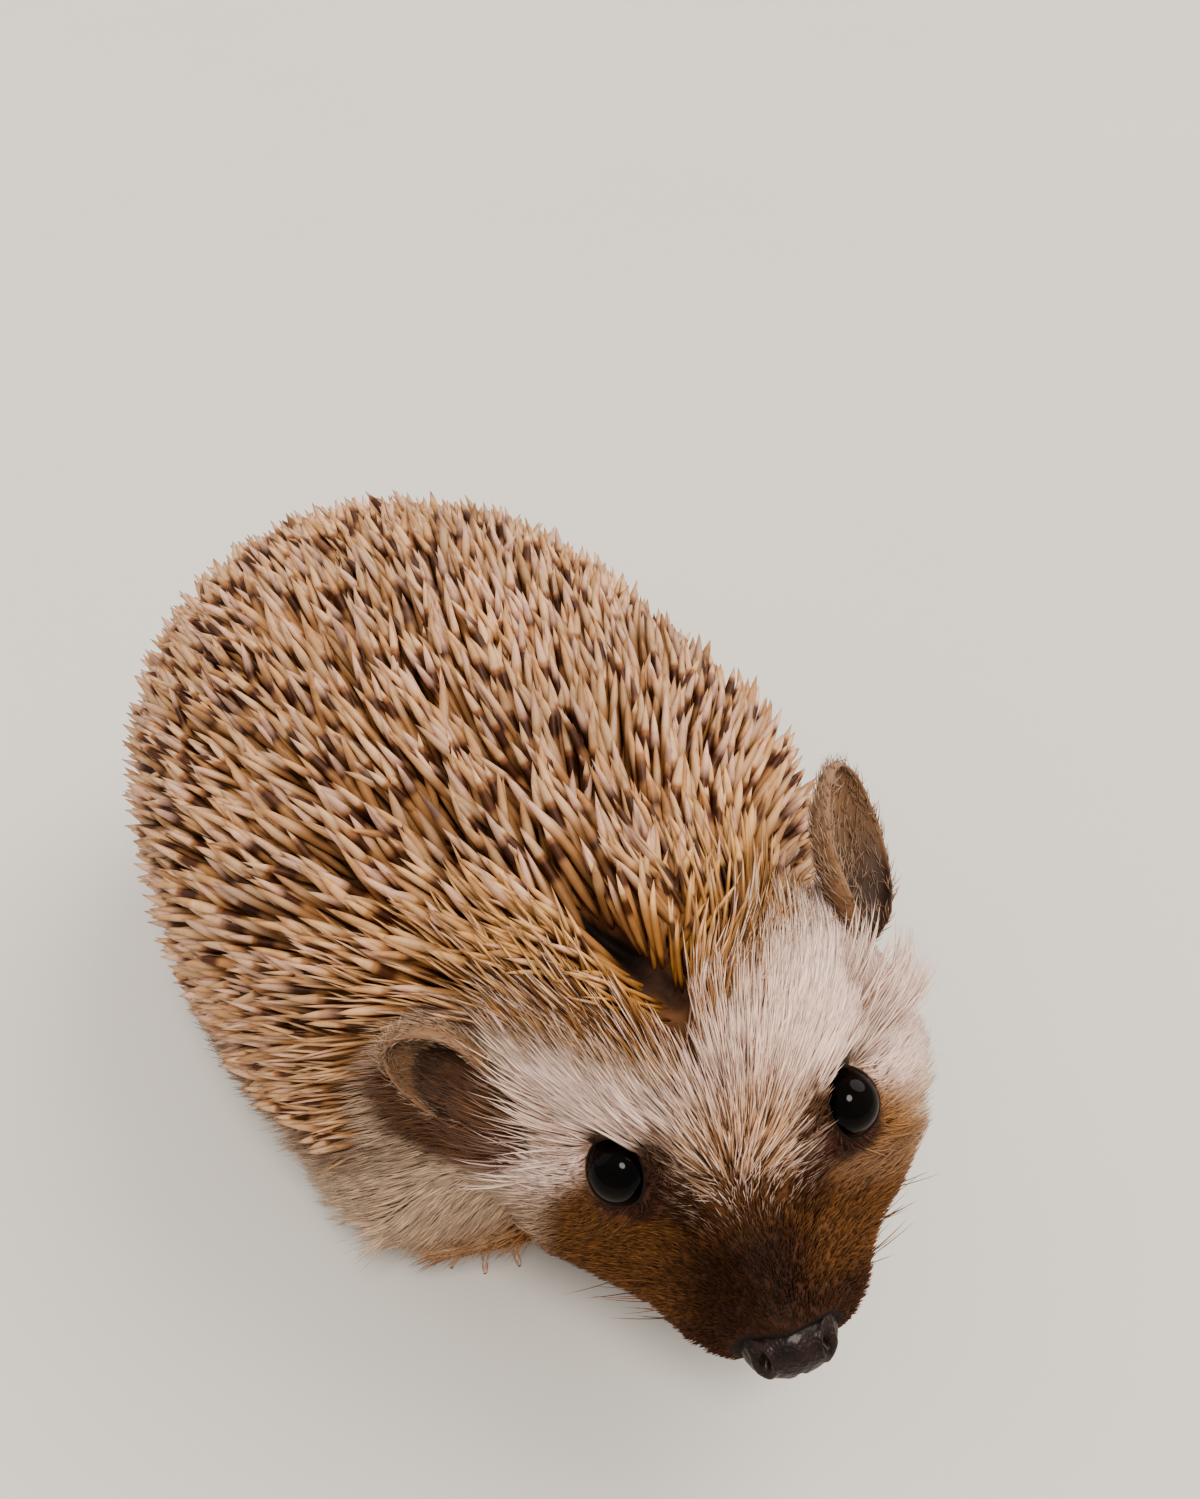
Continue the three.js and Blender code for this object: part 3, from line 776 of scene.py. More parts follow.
def value(tree, name, strength=1.0):  # a share that the mesh carries
    share = addNode(tree, "Attribute", {}, attribute_name=name).outputs["Fac"]
    return share if strength == 1.0 else times(tree, share, strength)


def blendColour(tree, share, a, b, mode="MIX"):
    return addNode(tree, "Mix", {0: share, 6: a, 7: b}, data_type="RGBA", blend_type=mode).outputs[2]


def filtered(tree, whole, film):
    return blendColour(tree, 1.0, whole, film, "MULTIPLY")


def layered(tree, whole, shades, layers):  # each layer: its colour, the share it follows, its strength
    for shade, name, strength in layers:
        whole = blendColour(tree, value(tree, name, strength), whole, shades[shade])
    return whole


def objectPlace(tree):
    return addNode(tree, "TexCoord", {}).outputs["Object"]


def noise(tree, scale, detail, roughness, place):
    return addNode(tree, "TexNoise", {
        "Scale": scale, "Detail": detail, "Roughness": roughness, "Vector": place,
    }).outputs["Fac"]


def spread(tree, source, low, high, toLow=0.0, toHigh=1.0):
    return addNode(tree, "MapRange", {
        "Value": source, "From Min": low, "From Max": high, "To Min": toLow, "To Max": toHigh,
    }).outputs["Result"]


def mottled(tree, source, a, b, edges=(0.3, 0.7)):  # one colour where a noise is low, one where it is high
    return blendColour(tree, spread(tree, source, *edges), a, b)


def brightened(tree, whole, lift):
    grey = addNode(tree, "CombineColor", {"Red": lift, "Green": lift, "Blue": lift}).outputs["Color"]
    return filtered(tree, whole, grey)


def bump(tree, shader, height, strength, depth):
    made = addNode(tree, "Bump", {"Height": height, "Strength": strength, "Distance": depth})
    tree.links.new(made.outputs["Normal"], shader.inputs["Normal"])


def colourStops(tree, source, stops, shades):
    made = addNode(tree, "ValToRGB", {"Fac": source})
    made.color_ramp.interpolation = "EASE"
    while len(made.color_ramp.elements) < len(stops):
        made.color_ramp.elements.new(0.5)
    for element, (at, shade) in zip(made.color_ramp.elements, stops):
        element.position = at
        element.color = shades[shade]
    return made.outputs["Color"]


coatColours = {
    "white": colour(246, 220, 206), "cheek": colour(220, 192, 166), "skirt": colour(184, 150, 114),
    "tan": colour(204, 152, 102), "gold": colour(174, 126, 76), "rustShade": colour(106, 63, 26),
    "mask": colour(125, 85, 49), "dusk": colour(68, 39, 20), "ring": colour(82, 49, 34),
    "chin": colour(180, 128, 76), "lip": colour(150, 106, 86), "shadow": colour(92, 54, 30),
}


def markedColour(tree):  # the markings that skin and fur share
    shades = coatColours
    whole = blendColour(tree, value(tree, "belly"), shades["cheek"], shades["skirt"])
    whole = layered(tree, whole, shades, (
        ("gold", "gold", 1.0), ("white", "pale", 1.0), ("rustShade", "rustShade", 0.92),
    ))
    tan = times(tree, value(tree, "fan"), value(tree, "fan", 0.7))
    whole = layered(tree, blendColour(tree, tan, whole, shades["tan"]), shades, (
        ("chin", "chin", 1.0), ("mask", "mask", 1.0), ("dusk", "dusk", 1.0), ("lip", "lip", 0.2),
    ))
    return blendColour(tree, value(tree, "ring"), whole, shades["ring"])


skinFinish = {
    "sockets": {"Roughness": 0.72, "Specular IOR Level": 0.3}, "rimRoughness": 0.88,
    "fine": (1600, 2, 0.6), "broad": (160, 3, 0.55), "pores": (700, 2, 0.5), "poreDepth": 0.0004,
    "shadeSpeckle": colour(150, 132, 118), "shadeUnderPale": colour(206, 192, 180),  # painted shade: these two darken the skin between the hairs that cover it
    # painted shade: the skin under the spines is dark brown, so the gaps between them read as shade
    "under": (colour(124, 82, 50), colour(62, 40, 28)),
    "pink": (colour(206, 150, 138), colour(176, 118, 104)),
    # bare: the skin in the parting, near black as painted shade in its slit
    "bare": colour(26, 15, 10), "lip": coatColours["lip"], "lid": colour(102, 70, 58),
    "rim": colour(28, 18, 13), "shadow": coatColours["shadow"],
}


def skinMaterial():
    plan = skinFinish
    material, tree, shader = newMaterial("hedgehogSkin", plan["sockets"])
    place = objectPlace(tree)
    fine, broad, pores = (noise(tree, *plan[grain], place) for grain in ("fine", "broad", "pores"))
    fur = markedColour(tree)
    fur = mottled(tree, fine, fur, filtered(tree, fur, plan["shadeSpeckle"]), (0.35, 0.65))
    fur = blendColour(tree, value(tree, "pale"), fur, filtered(tree, fur, plan["shadeUnderPale"]))
    fur = layered(tree, fur, plan, (("shadow", "fan", 0.8),))
    whole = blendColour(tree, value(tree, "spiny"), fur, mottled(tree, broad, *plan["under"], (0.35, 0.65)))
    whole = layered(tree, whole, plan, (("bare", "bareSkinShade", 1.0),))
    naked = sums(tree, "MAXIMUM", value(tree, "foot"), value(tree, "tail", 0.8))
    whole = blendColour(tree, naked, whole, mottled(tree, broad, *plan["pink"], (0.35, 0.7)))
    whole = layered(tree, whole, plan, (("lip", "lip", 0.4), ("lid", "lid", 1.0), ("rim", "rim", 1.0)))
    tree.links.new(whole, shader.inputs["Base Color"])
    rough = spread(tree, value(tree, "rim"), 0, 1, plan["sockets"]["Roughness"], plan["rimRoughness"])
    tree.links.new(rough, shader.inputs["Roughness"])
    bump(tree, shader, sums(tree, "ADD", times(tree, fine, 0.6), pores), 0.5, plan["poreDepth"])
    return material


furFinish = {  # how light the roots are, darker partly as real fur is and partly as painted shade deep in the coat, and the darkest and the lightest hairs
    "paleFur": {"root": 0.55, "hairs": (0.72, 1.12), "roughness": 0.6},
    "fanFur": {"root": 0.42, "hairs": (0.72, 1.1872), "roughness": 0.6},
    "maskFur": {"root": 0.45, "hairs": (0.5, 1.344), "roughness": 0.65},
}
furStreaks = {"strength": 0.8, "shadow": (0.26, 0.2), "white": (0.6, 0.75)}  # brown single hairs in the shadow colour, partly real and partly painted shade in the gaps between strands, and cream ones
rootShadeTint, rootShadeEnd = (0.95, 0.82, 0.7), 0.55


def furMaterial(name):
    plan = furFinish[name]
    material, tree, shader = newMaterial(name, {
        "Roughness": plan["roughness"], "Specular IOR Level": 0.2,
        "Sheen Weight": 0.05, "Sheen Roughness": 0.4,
    })
    whole = markedColour(tree)
    along, tint = value(tree, "along"), value(tree, "tint")
    # roots darkened, partly real colour and partly painted shade within the coat
    dark = filtered(tree, whole, (*(plan["root"] * part for part in rootShadeTint), 1))
    whole = mottled(tree, along, dark, whole, (0.0, rootShadeEnd))
    whole = brightened(tree, whole, spread(tree, tint, 0, 1, *plan["hairs"]))
    streaked = sums(tree, "MAXIMUM", value(tree, "gold"), value(tree, "fan"), True)
    streaked = times(tree, streaked, furStreaks["strength"])
    for shade in ("shadow", "white"):
        share = times(tree, spread(tree, tint, *furStreaks[shade]), streaked)
        whole = blendColour(tree, share, whole, coatColours[shade])
    tree.links.new(whole, shader.inputs["Base Color"])
    return material


spineColours = {
    "base": colour(171, 124, 81), "band": colour(80, 42, 18), "bandEdge": colour(140, 90, 52),
    "tip": colour(214, 174, 135), "point": colour(190, 142, 102),
    "pinkish": colour(212, 170, 149), "tan": colour(190, 140, 94),
    "goldBase": colour(168, 119, 64), "goldBand": colour(88, 50, 22), "goldTip": colour(222, 174, 114),
}
spineBands = {  # colours from root to point
    "cream": (
        (0.0, "base"), (0.44, "base"), (0.53, "band"), (0.65, "band"), (0.70, "bandEdge"), (0.76, "tip"),
        (0.94, "tip"), (1.0, "point"),
    ),
    "creamPlain": ((0.0, "base"), (0.5, "base"), (0.75, "tip"), (1.0, "point")),
    "gold": (
        (0.0, "goldBase"), (0.40, "goldBase"), (0.50, "goldBand"), (0.62, "goldBand"), (0.70, "goldTip"),
        (1.0, "goldTip"),
    ),
    "goldPlain": (
        (0.0, "goldBand"), (0.25, "goldBase"), (0.6, "goldBase"), (0.85, "goldTip"), (1.0, "point"),
    ),
}
spineFinish = {
    "tip": (0.66, 0.76), "tipStrength": 0.7, "pinkish": (0.66, 0.8), "tan": (0.36, 0.22),  # some tips differ
    "lift": (0.66, 1.12), "grain": (900, 2, 0.5), "grainLift": (0.9, 1.05), "grainDepth": 0.0002,
}


def spineMaterial():
    plan = spineFinish
    material, tree, shader = newMaterial("spineKeratin", {
        "Roughness": 0.5, "Specular IOR Level": 0.35, "Coat Weight": 0.04, "Coat Roughness": 0.35,
    })
    along, tint, gold = (value(tree, name) for name in ("along", "tint", "gold"))
    at = sums(tree, "ADD", along, value(tree, "shift"))
    banded = blendColour(tree, gold, *(
        colourStops(tree, at, spineBands[name], spineColours) for name in ("cream", "gold")
    ))
    unbanded = blendColour(tree, gold, *(
        colourStops(tree, along, spineBands[name], spineColours) for name in ("creamPlain", "goldPlain")
    ))
    whole = blendColour(tree, value(tree, "plain"), banded, unbanded)
    tip = spread(tree, along, *plan["tip"])
    for shade in ("pinkish", "tan"):
        share = times(tree, tip, spread(tree, tint, *plan[shade], 0, plan["tipStrength"]))
        whole = blendColour(tree, share, whole, spineColours[shade])
    grain = noise(tree, *plan["grain"], objectPlace(tree))
    lift = spread(tree, value(tree, "lift"), 0, 1, *plan["lift"])
    lift = times(tree, lift, spread(tree, grain, 0.3, 0.7, *plan["grainLift"]))
    tree.links.new(brightened(tree, whole, lift), shader.inputs["Base Color"])
    bump(tree, shader, grain, 0.15, plan["grainDepth"])
    return material


glossFinish = {  # the bump's strength and depth, and where its pebbles are finer than the grain
    "wetEye": {
        "sockets": {"Roughness": 0.07, "IOR": 1.22}, "colours": (colour(3, 2, 2), colour(16, 10, 7)),
        "grain": (300, 3, 0.5), "edges": (0.35, 0.7),
    },
    "moistNose": {
        "sockets": {"Roughness": 0.42, "IOR": 1.28, "Coat Weight": 0.16, "Coat Roughness": 0.14},
        "colours": (colour(24, 15, 12), colour(50, 34, 28)),
        "grain": (500, 3, 0.5), "edges": (0.3, 0.7), "pebbles": 2600.0, "bump": (0.45, 0.00025),
    },
    "clawHorn": {
        "sockets": {"Roughness": 0.35, "Specular IOR Level": 0.5, "Coat Weight": 0.2},
        "colours": (colour(214, 190, 168), colour(168, 130, 108)),
        "grain": (700, 3, 0.5), "edges": (0.3, 0.7), "bump": (0.2, 0.0002),
    },
}


def glossMaterial(name):
    plan = glossFinish[name]
    material, tree, shader = newMaterial(name, plan["sockets"])
    place = objectPlace(tree)
    height = grain = noise(tree, *plan["grain"], place)
    if "pebbles" in plan:
        height = addNode(tree, "TexVoronoi", {"Vector": place, "Scale": plan["pebbles"]}).outputs["Distance"]
    if "bump" in plan:
        bump(tree, shader, height, *plan["bump"])
    whole = mottled(tree, grain, *plan["colours"], plan["edges"])
    tree.links.new(whole, shader.inputs["Base Color"])
    return material


earFinish = {
    "sockets": {
        "Roughness": 0.6, "Specular IOR Level": 0.35, "Sheen Weight": 0.12, "Sheen Roughness": 0.5,
        "Subsurface Weight": 0.15, "Subsurface Scale": 0.001,
    },
    "outside": (colour(120, 88, 60), colour(154, 118, 88)),
    # painted shade: the inside of each cup is dark brown, darkest low in the hollow
    "inside": (colour(38, 22, 12), colour(68, 43, 25)),
    "high": colour(130, 97, 69), "rim": colour(138, 104, 78), "cupEdge": (0.45, 0.75), "rimEdge": (0.2, 0.9),
    "broad": (330, 4, 0.6), "pores": (1500, 3, 0.6), "bump": (0.35, 0.0003),
}


def earMaterial():
    plan = earFinish
    material, tree, shader = newMaterial("earSkin", plan["sockets"])
    broad, pores = (noise(tree, *plan[grain], objectPlace(tree)) for grain in ("broad", "pores"))
    outside, inside = (mottled(tree, broad, *plan[face]) for face in ("outside", "inside"))
    # the painted shade lifts towards the tip of the hollow
    inside = layered(tree, inside, plan, (("high", "high", 1.0),))
    whole = mottled(tree, value(tree, "cup"), outside, inside, plan["cupEdge"])
    whole = mottled(tree, value(tree, "rim"), whole, plan["rim"], plan["rimEdge"])
    tree.links.new(whole, shader.inputs["Base Color"])
    bump(tree, shader, pores, *plan["bump"])
    return material


def scatter(body, count, weight):  # roots spread over the skin, by area and weight
    triangles = body["triangles"]
    share = np.clip(weight, 0, None)[triangles].mean(1)
    a, b, c = (body["inner"][triangles[:, k]] for k in range(3))
    size = np.linalg.norm(np.cross(b - a, c - a), axis=1) * share
    summed = np.cumsum(size) / size.sum()
    picked = np.searchsorted(summed, chance.random(count)).clip(0, len(size) - 1)
    u, v = chance.random((2, count))
    over = u + v > 1
    u, v = np.where(over, 1 - u, u), np.where(over, 1 - v, v)
    parts = np.stack([1 - u - v, u, v], 1)
    found = {
        name: np.einsum("ij,ij...->i...", parts, body[source][triangles[picked]])
        for name, source in (("root", "inner"), ("normal", "normals"), ("outer", "outer"), ("depth", "depth"))
    }
    found["normal"] = unit(found["normal"])
    return found


def thinned(found, gap):  # keeps roots that stand at least gap apart
    points = found["root"]
    tree = placeTree(points)
    free = np.ones(len(points), bool)
    kept = []
    for i, point in enumerate(points):
        if free[i]:
            kept.append(i)
            for _, j, _ in tree.find_range(point, gap):
                free[j] = False
    return {k: v[kept] for k, v in found.items()}


lieOfCoat = {
    "muzzle": (4, 9),  # ahead of this the coat lies away from the nose, behind it away from the fan's root
    "droop": 0.45, "droopSlope": (0.3, 0.9), "droopBack": (6, 20), "back": 0.25, "backFrom": (10, 30),
    "wander": (12.0, 11, 2), "partingPush": 0.4, "partingReach": 5.0, "partingGap": (0.3, 0.5),
    "eyePush": 1.1, "eyeReach": (4.0, 7.0),
}
partingRun = np.array(coatMap["parting"]["ends"][1]) - coatMap["parting"]["ends"][0]
partingAcross = unit((partingRun[1], -partingRun[0], 0)) @ headAxes


def clearOfParting(points):  # moves what hangs over the parting to its edge
    side, front, up = inHead(points).T
    _, off, hand, width = partingAt(side, front, up)
    lack = np.clip(width + chance.normal(*lieOfCoat["partingGap"], len(points)) - off, 0, None)
    return points + partingAcross * (hand * lack * ramp(up, *coatMap["parting"]["up"]))[:, None]


def lieAt(points, normals, jitter):  # the way the coat lies: away from the face, down the sides
    plan = lieOfCoat
    side, front, up = inHead(points).T
    behind = fading(front, *plan["muzzle"])
    lie = mixed(unit(points - noseMiddle), unit(points - fanRoot), behind[:, None])
    steep = ramp(1 - normals[:, 2], *plan["droopSlope"]) * ramp(-front, *plan["droopBack"])
    lie[:, 2] -= plan["droop"] * steep
    lie[:, 1] += plan["back"] * ramp(-front, *plan["backFrom"])
    _, off, hand, width = partingAt(side, front, up)
    beside = fading(off, width, width + plan["partingReach"]) * ramp(up, *coatMap["parting"]["up"])
    lie += (partingAcross * hand[:, None]) * (plan["partingPush"] * beside)[:, None]
    for middle in eyeMiddle.values():
        near = fading(distance(points, middle), *plan["eyeReach"])
        lie += squareTo(points - middle, normals) * (plan["eyePush"] * near)[:, None]
    lie = squareTo(lie, normals)
    turn = np.radians(waver(points, plan["wander"]) + jitter * chance.standard_normal(len(points)))
    return np.cos(turn)[:, None] * lie + np.sin(turn)[:, None] * np.cross(normals, lie)


strandPlan = {
    "reach": 0.93, "lift": 0.6,  # how a strand's length is laid out before its tip finds the coat's surface
    "sunk": 0.15, "thickness": (0.8, 1.15),
    "overFloor": {"stand": 0.4, "lay": 0.25, "control": 0.3, "tip": 0.12, "root": 0.1},
    "partingUp": 3, "partingGap": 1.05,
    "lightness": (0.125, 0.875), "drift": (0.3, 13, 6), "bandDrift": (9, 8),
    "shadeAt": (0.7, 1.0), "shadeStep": 0.35, "pull": (0.5, 1.2),
}
coatPatch = {"size": 0.003, "margin": 0.004, "capHeight": 0.2}
poles = {  # a middle and axes, round which the skin is laid flat
    "body": (cadMiddle, np.array([[1, 0, 0], [0, -1, 0], [0, 0, 1.0]])),
    "head": (fromHead((0, -6, -6)), headAxes),
}
coatTriangles = {}


def keptOver(points, height):
    points[:, 2] = np.maximum(points[:, 2], strandPlan["overFloor"][height])


def tipsFor(body, found, length, plan):
    lie = lieAt(found["outer"], found["normal"], plan["jitter"])
    rise = chance.uniform(*plan["rise"], len(lie))
    proud = chance.uniform(*plan["proud"], len(lie))
    if "stand" in plan:  # hair that stands away from the skin
        tips = found["root"] + unit(lie + found["normal"] * plan["stand"]) * length[:, None]
        keptOver(tips, "stand")
        return tips
    # each tip lies on the coat's outer surface, a little inside or outside it
    reach = found["root"] + lie * (length * strandPlan["reach"])[:, None]
    reach = reach + found["normal"] * (found["depth"] * strandPlan["lift"])[:, None]
    tips = np.empty_like(reach)
    for i, p in enumerate(reach):
        near, normal, _, _ = body["tree"].find_nearest(p)
        tips[i] = np.array(near) - np.array(normal) * ((1 - rise[i]) * found["depth"][i] - proud[i])
    keptOver(tips, "lay")
    return tips


def clumped(roots, tips, plan):  # draws the tips of neighbours together
    middles = roots[chance.permutation(len(roots))[: max(1, int(len(roots) / plan["each"]))]]
    tree = placeTree(middles)
    group = np.array([tree.find(p)[1] for p in roots])
    size = np.maximum(np.bincount(group, minlength=len(middles)), 1)
    mean = np.stack([np.bincount(group, tips[:, k], len(middles)) for k in range(3)], 1) / size[:, None]
    pull = plan["pull"] * chance.uniform(*strandPlan["pull"], len(roots))
    return mixed(tips, mean[group], pull[:, None])


def spotsAlong(strands):  # places on a strand's curve, from its root to its tip
    root, control, tip = (strands[k] for k in ("root", "control", "tip"))
    middle, late = (root + 2 * control + tip) / 4, (control + tip) / 2
    return root, (root + control) / 2, middle, late, mixed(control, tip, 0.75), tip


def overParting(strands):
    over = np.zeros(len(strands["root"]), bool)
    _, _, middle, late, _, tip = spotsAlong(strands)
    for spot in (tip, middle, late):
        place = inHead(spot).T
        _, off, _, width = partingAt(*place)
        over |= (off < width * strandPlan["partingGap"]) & (place[2] > strandPlan["partingUp"])
    return over


def clearOfEars(strands, gap):  # False where a tuft would run through an ear
    kept = np.ones(len(strands["root"]), bool)
    spots = spotsAlong(strands)
    for i in range(len(kept)):
        root, middle, tip = (Vector(spots[k][i]) for k in (0, 2, 5))
        for ear in earShells:
            if ear.ray_cast(root, middle - root, (middle - root).length)[0]:
                kept[i] = False
            elif ear.ray_cast(middle, tip - middle, (tip - middle).length)[0]:
                kept[i] = False
            elif gap and (ear.find_nearest(middle, gap)[0] or ear.find_nearest(tip, gap)[0]):
                kept[i] = False
    return kept


eyeClear = {"over": 3.5, "beside": 0.6, "edge": 1.08}


def clearOfEyes(strands):  # False where a tuft would hang over an opening or touch its edge
    kept = np.ones(len(strands["root"]), bool)
    for name in handOf:
        slit, across, gaze = axesOfEye(name)
        long, short = (eyePlan["radius"] * math.sin(math.radians(eyePlan[k])) for k in ("long", "short"))
        for spot in spotsAlong(strands):
            away = spot - eyeMiddle[name]
            far = np.linalg.norm(away, axis=1) - eyePlan["radius"]
            over = (np.hypot(away @ slit / long, away @ across / short) < 1.0) & (away @ gaze > 0)
            beside = (far < eyeClear["beside"]) & (openingOf(name, spot) < eyeClear["edge"])
            kept &= ~(over & (far < eyeClear["over"]) | beside)
    return kept


def unwrapped(points, pole):
    # the skin's own shape laid flat: angle round the pole's axis, and angle away from the pole
    centre, axes = pole
    d = unit((points - centre) @ axes.T)
    flat = []
    for angle in (np.arctan2(d[:, 0], d[:, 2]), np.arccos(np.clip(d[:, 1], -1, 1))):
        low, high = angle.min(), angle.max()
        share = (angle - low) / max(high - low, 1e-6)
        flat.append(mixed(coatPatch["margin"], 1 - coatPatch["margin"], share))
    return np.stack(flat, 1)


def needleFaces(sides, rings):  # the corners of one needle's faces, and their places on its patch
    last, point = (rings - 1) * sides, rings * sides
    quadPlaces, tops, topPlaces = [], [], []
    for r in range(rings - 1):
        quadPlaces += [[(k, r), (k + 1, r), (k + 1, r + 1), (k, r + 1)] for k in range(sides)]
    for k in range(sides):
        tops.append([last + k, last + (k + 1) % sides, point])
        topPlaces.append([(k, rings - 1), (k + 1, rings - 1), (k + 0.5, rings)])
    for k in range(1, sides - 1):  # these close the root
        tops.append([0, k + 1, k])
        topPlaces.append([(0, 0), (k + 1, coatPatch["capHeight"]), (k, 0)])
    return (np.array(ringQuads(rings, sides)), np.array(tops)), (np.array(quadPlaces), np.array(topPlaces))


def needles(name, plan, strands, values, material):  # solid needles as one mesh, each on a patch of its own
    sides, rings = plan["sides"], plan["rings"]
    root, control, tip, normal = (strands[k] for k in ("root", "control", "tip", "normal"))
    count, each = len(root), rings * sides + 1
    steps = np.linspace(0, 1, rings + 1)
    s = steps[None, :, None]
    line = (1 - s) ** 2 * root[:, None] + 2 * s * (1 - s) * control[:, None] + s ** 2 * tip[:, None]
    heading = unit((1 - s) * (control - root)[:, None] + s * (tip - control)[:, None])
    across = unit(np.cross(heading, normal[:, None]))
    over = np.cross(across, heading)[:, :rings, None]
    turn = (np.arange(sides) * 2 * math.pi / sides + math.pi / 2)[:, None]
    outwards = np.cos(turn) * across[:, :rings, None] + np.sin(turn) * over
    thick = strands["radius"][:, None] * np.interp(steps, *plan["profile"])[:rings]
    shell = line[:, :rings, None] + thick[:, :, None, None] * outwards
    points = np.concatenate([shell.reshape(count, -1, 3), line[:, rings:]], 1).reshape(-1, 3)

    faces, places = needleFaces(sides, rings)
    start = (np.arange(count) * each)[:, None, None]
    corners = np.concatenate([(kind + start).ravel() for kind in faces])
    quads, tops = (count * len(kind) for kind in faces)
    starts = np.concatenate([np.arange(quads) * 4, quads * 4 + np.arange(tops) * 3])
    middles = unwrapped(root, poles[plan["pole"]])[:, None]
    patches = [
        middles + (table.reshape(-1, 2) / [sides, rings] - 0.5) * coatPatch["size"] for table in places
    ]

    mesh = bpy.data.meshes.new(name)
    mesh.vertices.add(len(points))
    mesh.loops.add(len(corners))
    mesh.polygons.add(quads + tops)
    mesh.vertices.foreach_set("co", (points * mm).astype(np.float32).ravel())
    mesh.loops.foreach_set("vertex_index", corners.astype(np.int32))
    mesh.polygons.foreach_set("loop_start", starts.astype(np.int32))
    mesh.polygons.foreach_set("use_smooth", np.ones(len(starts), bool))
    mesh.update(calc_edges=True)
    layer = mesh.uv_layers.new(name="OFBake")
    layer.uv.foreach_set("vector", np.concatenate([patch.ravel() for patch in patches]).astype(np.float32))
    along = np.append(np.repeat(steps[:rings], sides), 1.0)
    addValues(mesh, {"along": np.tile(along, count), **{k: np.repeat(v, each) for k, v in values.items()}})
    mesh.materials.append(material)
    piece = placed(name, mesh)
    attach(piece, "root")
    coatTriangles[name] = quads * 2 + tops


usualCoat = {  # what a coat does where its own plan doesn't say otherwise
    "lengthOf": lambda at: 1.0, "radiusOf": lambda at: 1.0, "plainOf": lambda at: 0.0,
    "lean": 0.4, "earGap": 0.0, "partingClear": 1.0, "markAt": 0.4,
    "bandStart": 0, "bandShift": 0, "bandDrift": 0,
}


def coatValues(found, marks, there, plan):
    count = len(found["root"])
    size, seed = strandPlan["bandDrift"]
    values = {k: marks[k] for k in coatMarks}
    values["pale"] = paleness(marks)
    values["plain"] = (chance.random(count) < plan["plainOf"](there)).astype(float)
    values["tint"] = chance.random(count)
    lift = mixed(*strandPlan["lightness"], chance.random(count)) + waver(found["outer"], strandPlan["drift"])
    values["lift"] = np.clip(lift, 0, 1)
    values["shift"] = chance.normal(plan["bandStart"], plan["bandShift"], count)
    values["shift"] += waver(found["outer"], (plan["bandDrift"], size, seed))
    return values


def growCoat(body, places, ownPlan, materials):
    plan = usualCoat | ownPlan
    found = scatter(body, plan["count"], plan["where"](places))
    if "gap" in plan:
        found = thinned(found, plan["gap"])
    count = len(found["root"])
    there = regionsAt(found["outer"])
    length = chance.uniform(*plan["length"], count) * plan["lengthOf"](there)
    tips = tipsFor(body, found, length, plan)
    if "clump" in plan:
        tips = clumped(found["root"], tips, plan["clump"])
    root = found["root"] - found["normal"] * strandPlan["sunk"]
    control = root + (tips - root) * plan["lean"] + found["normal"] * (plan["bow"] * length)[:, None]
    keptOver(control, "control")
    keptOver(tips, "tip")
    keptOver(root, "root")
    strands = {"root": root, "control": control, "tip": tips, "normal": found["normal"]}
    over = overParting(strands)
    over &= chance.random(count) < plan["partingClear"]
    for part in ("tip", "control"):
        strands[part] = clearOfParting(strands[part])
    kept = clearOfEars(strands, plan["earGap"]) & clearOfEyes(strands) & ~over
    marks = regionsAt(mixed(found["outer"], strands["tip"], plan["markAt"]))
    if "shadeClear" in plan:  # fewer tufts reach from pale hair over a dark patch
        for share in strandPlan["shadeAt"]:
            reached = regionsAt(mixed(root, strands["tip"], share))
            darker = reached["rustShade"] + reached["dusk"] - marks["rustShade"] - marks["dusk"]
            kept &= (darker < strandPlan["shadeStep"]) | (chance.random(count) > plan["shadeClear"])
    values = coatValues(found, marks, there, plan)
    thickness = chance.uniform(*strandPlan["thickness"], count)
    strands["radius"] = plan["radius"] * thickness * plan["radiusOf"](there)
    order = np.argsort(unwrapped(root, poles[plan["pole"]])[:, 0])
    order = order[kept[order]]
    for name, part in zip(plan["pieces"], np.array_split(order, len(plan["pieces"]))):
        chosen, chosenValues = ({k: v[part] for k, v in rows.items()} for rows in (strands, values))
        needles(name, plan, chosen, chosenValues, materials[plan["material"]])
    report(f"{plan['pieces'][0]}: {count} needles")


spinePlan = {
    "pieces": ["spines_right", "spines_top_right", "spines_top_left", "spines_left"],
    "slot": "spines", "material": "spineKeratin", "pole": "body",
    "where": lambda at: (at["spiny"] > 0.5) * at["haired"] * (1 - at["limb"])
    * np.where(at["up"] < -12, 1, ramp(-at["front"], 16, 21) * at["clearOfEar"]),
    "gap": 1.22, "count": 46000, "length": (9.2, 13.0), "radius": 0.6, "sides": 6, "rings": 7,
    "profile": ((0, 0.1, 0.35, 0.75, 0.9, 1), (0.5, 0.75, 1.0, 0.92, 0.5, 0.05)),
    "rise": (0.72, 1.0), "proud": (-0.4, 0.8), "lean": 0.5, "bow": 0.05, "jitter": 14.0, "earGap": 0.35,
    "bandShift": 0.08, "bandDrift": 0.1, "bandStart": -0.04, "plainOf": lambda at: 0.36,
}
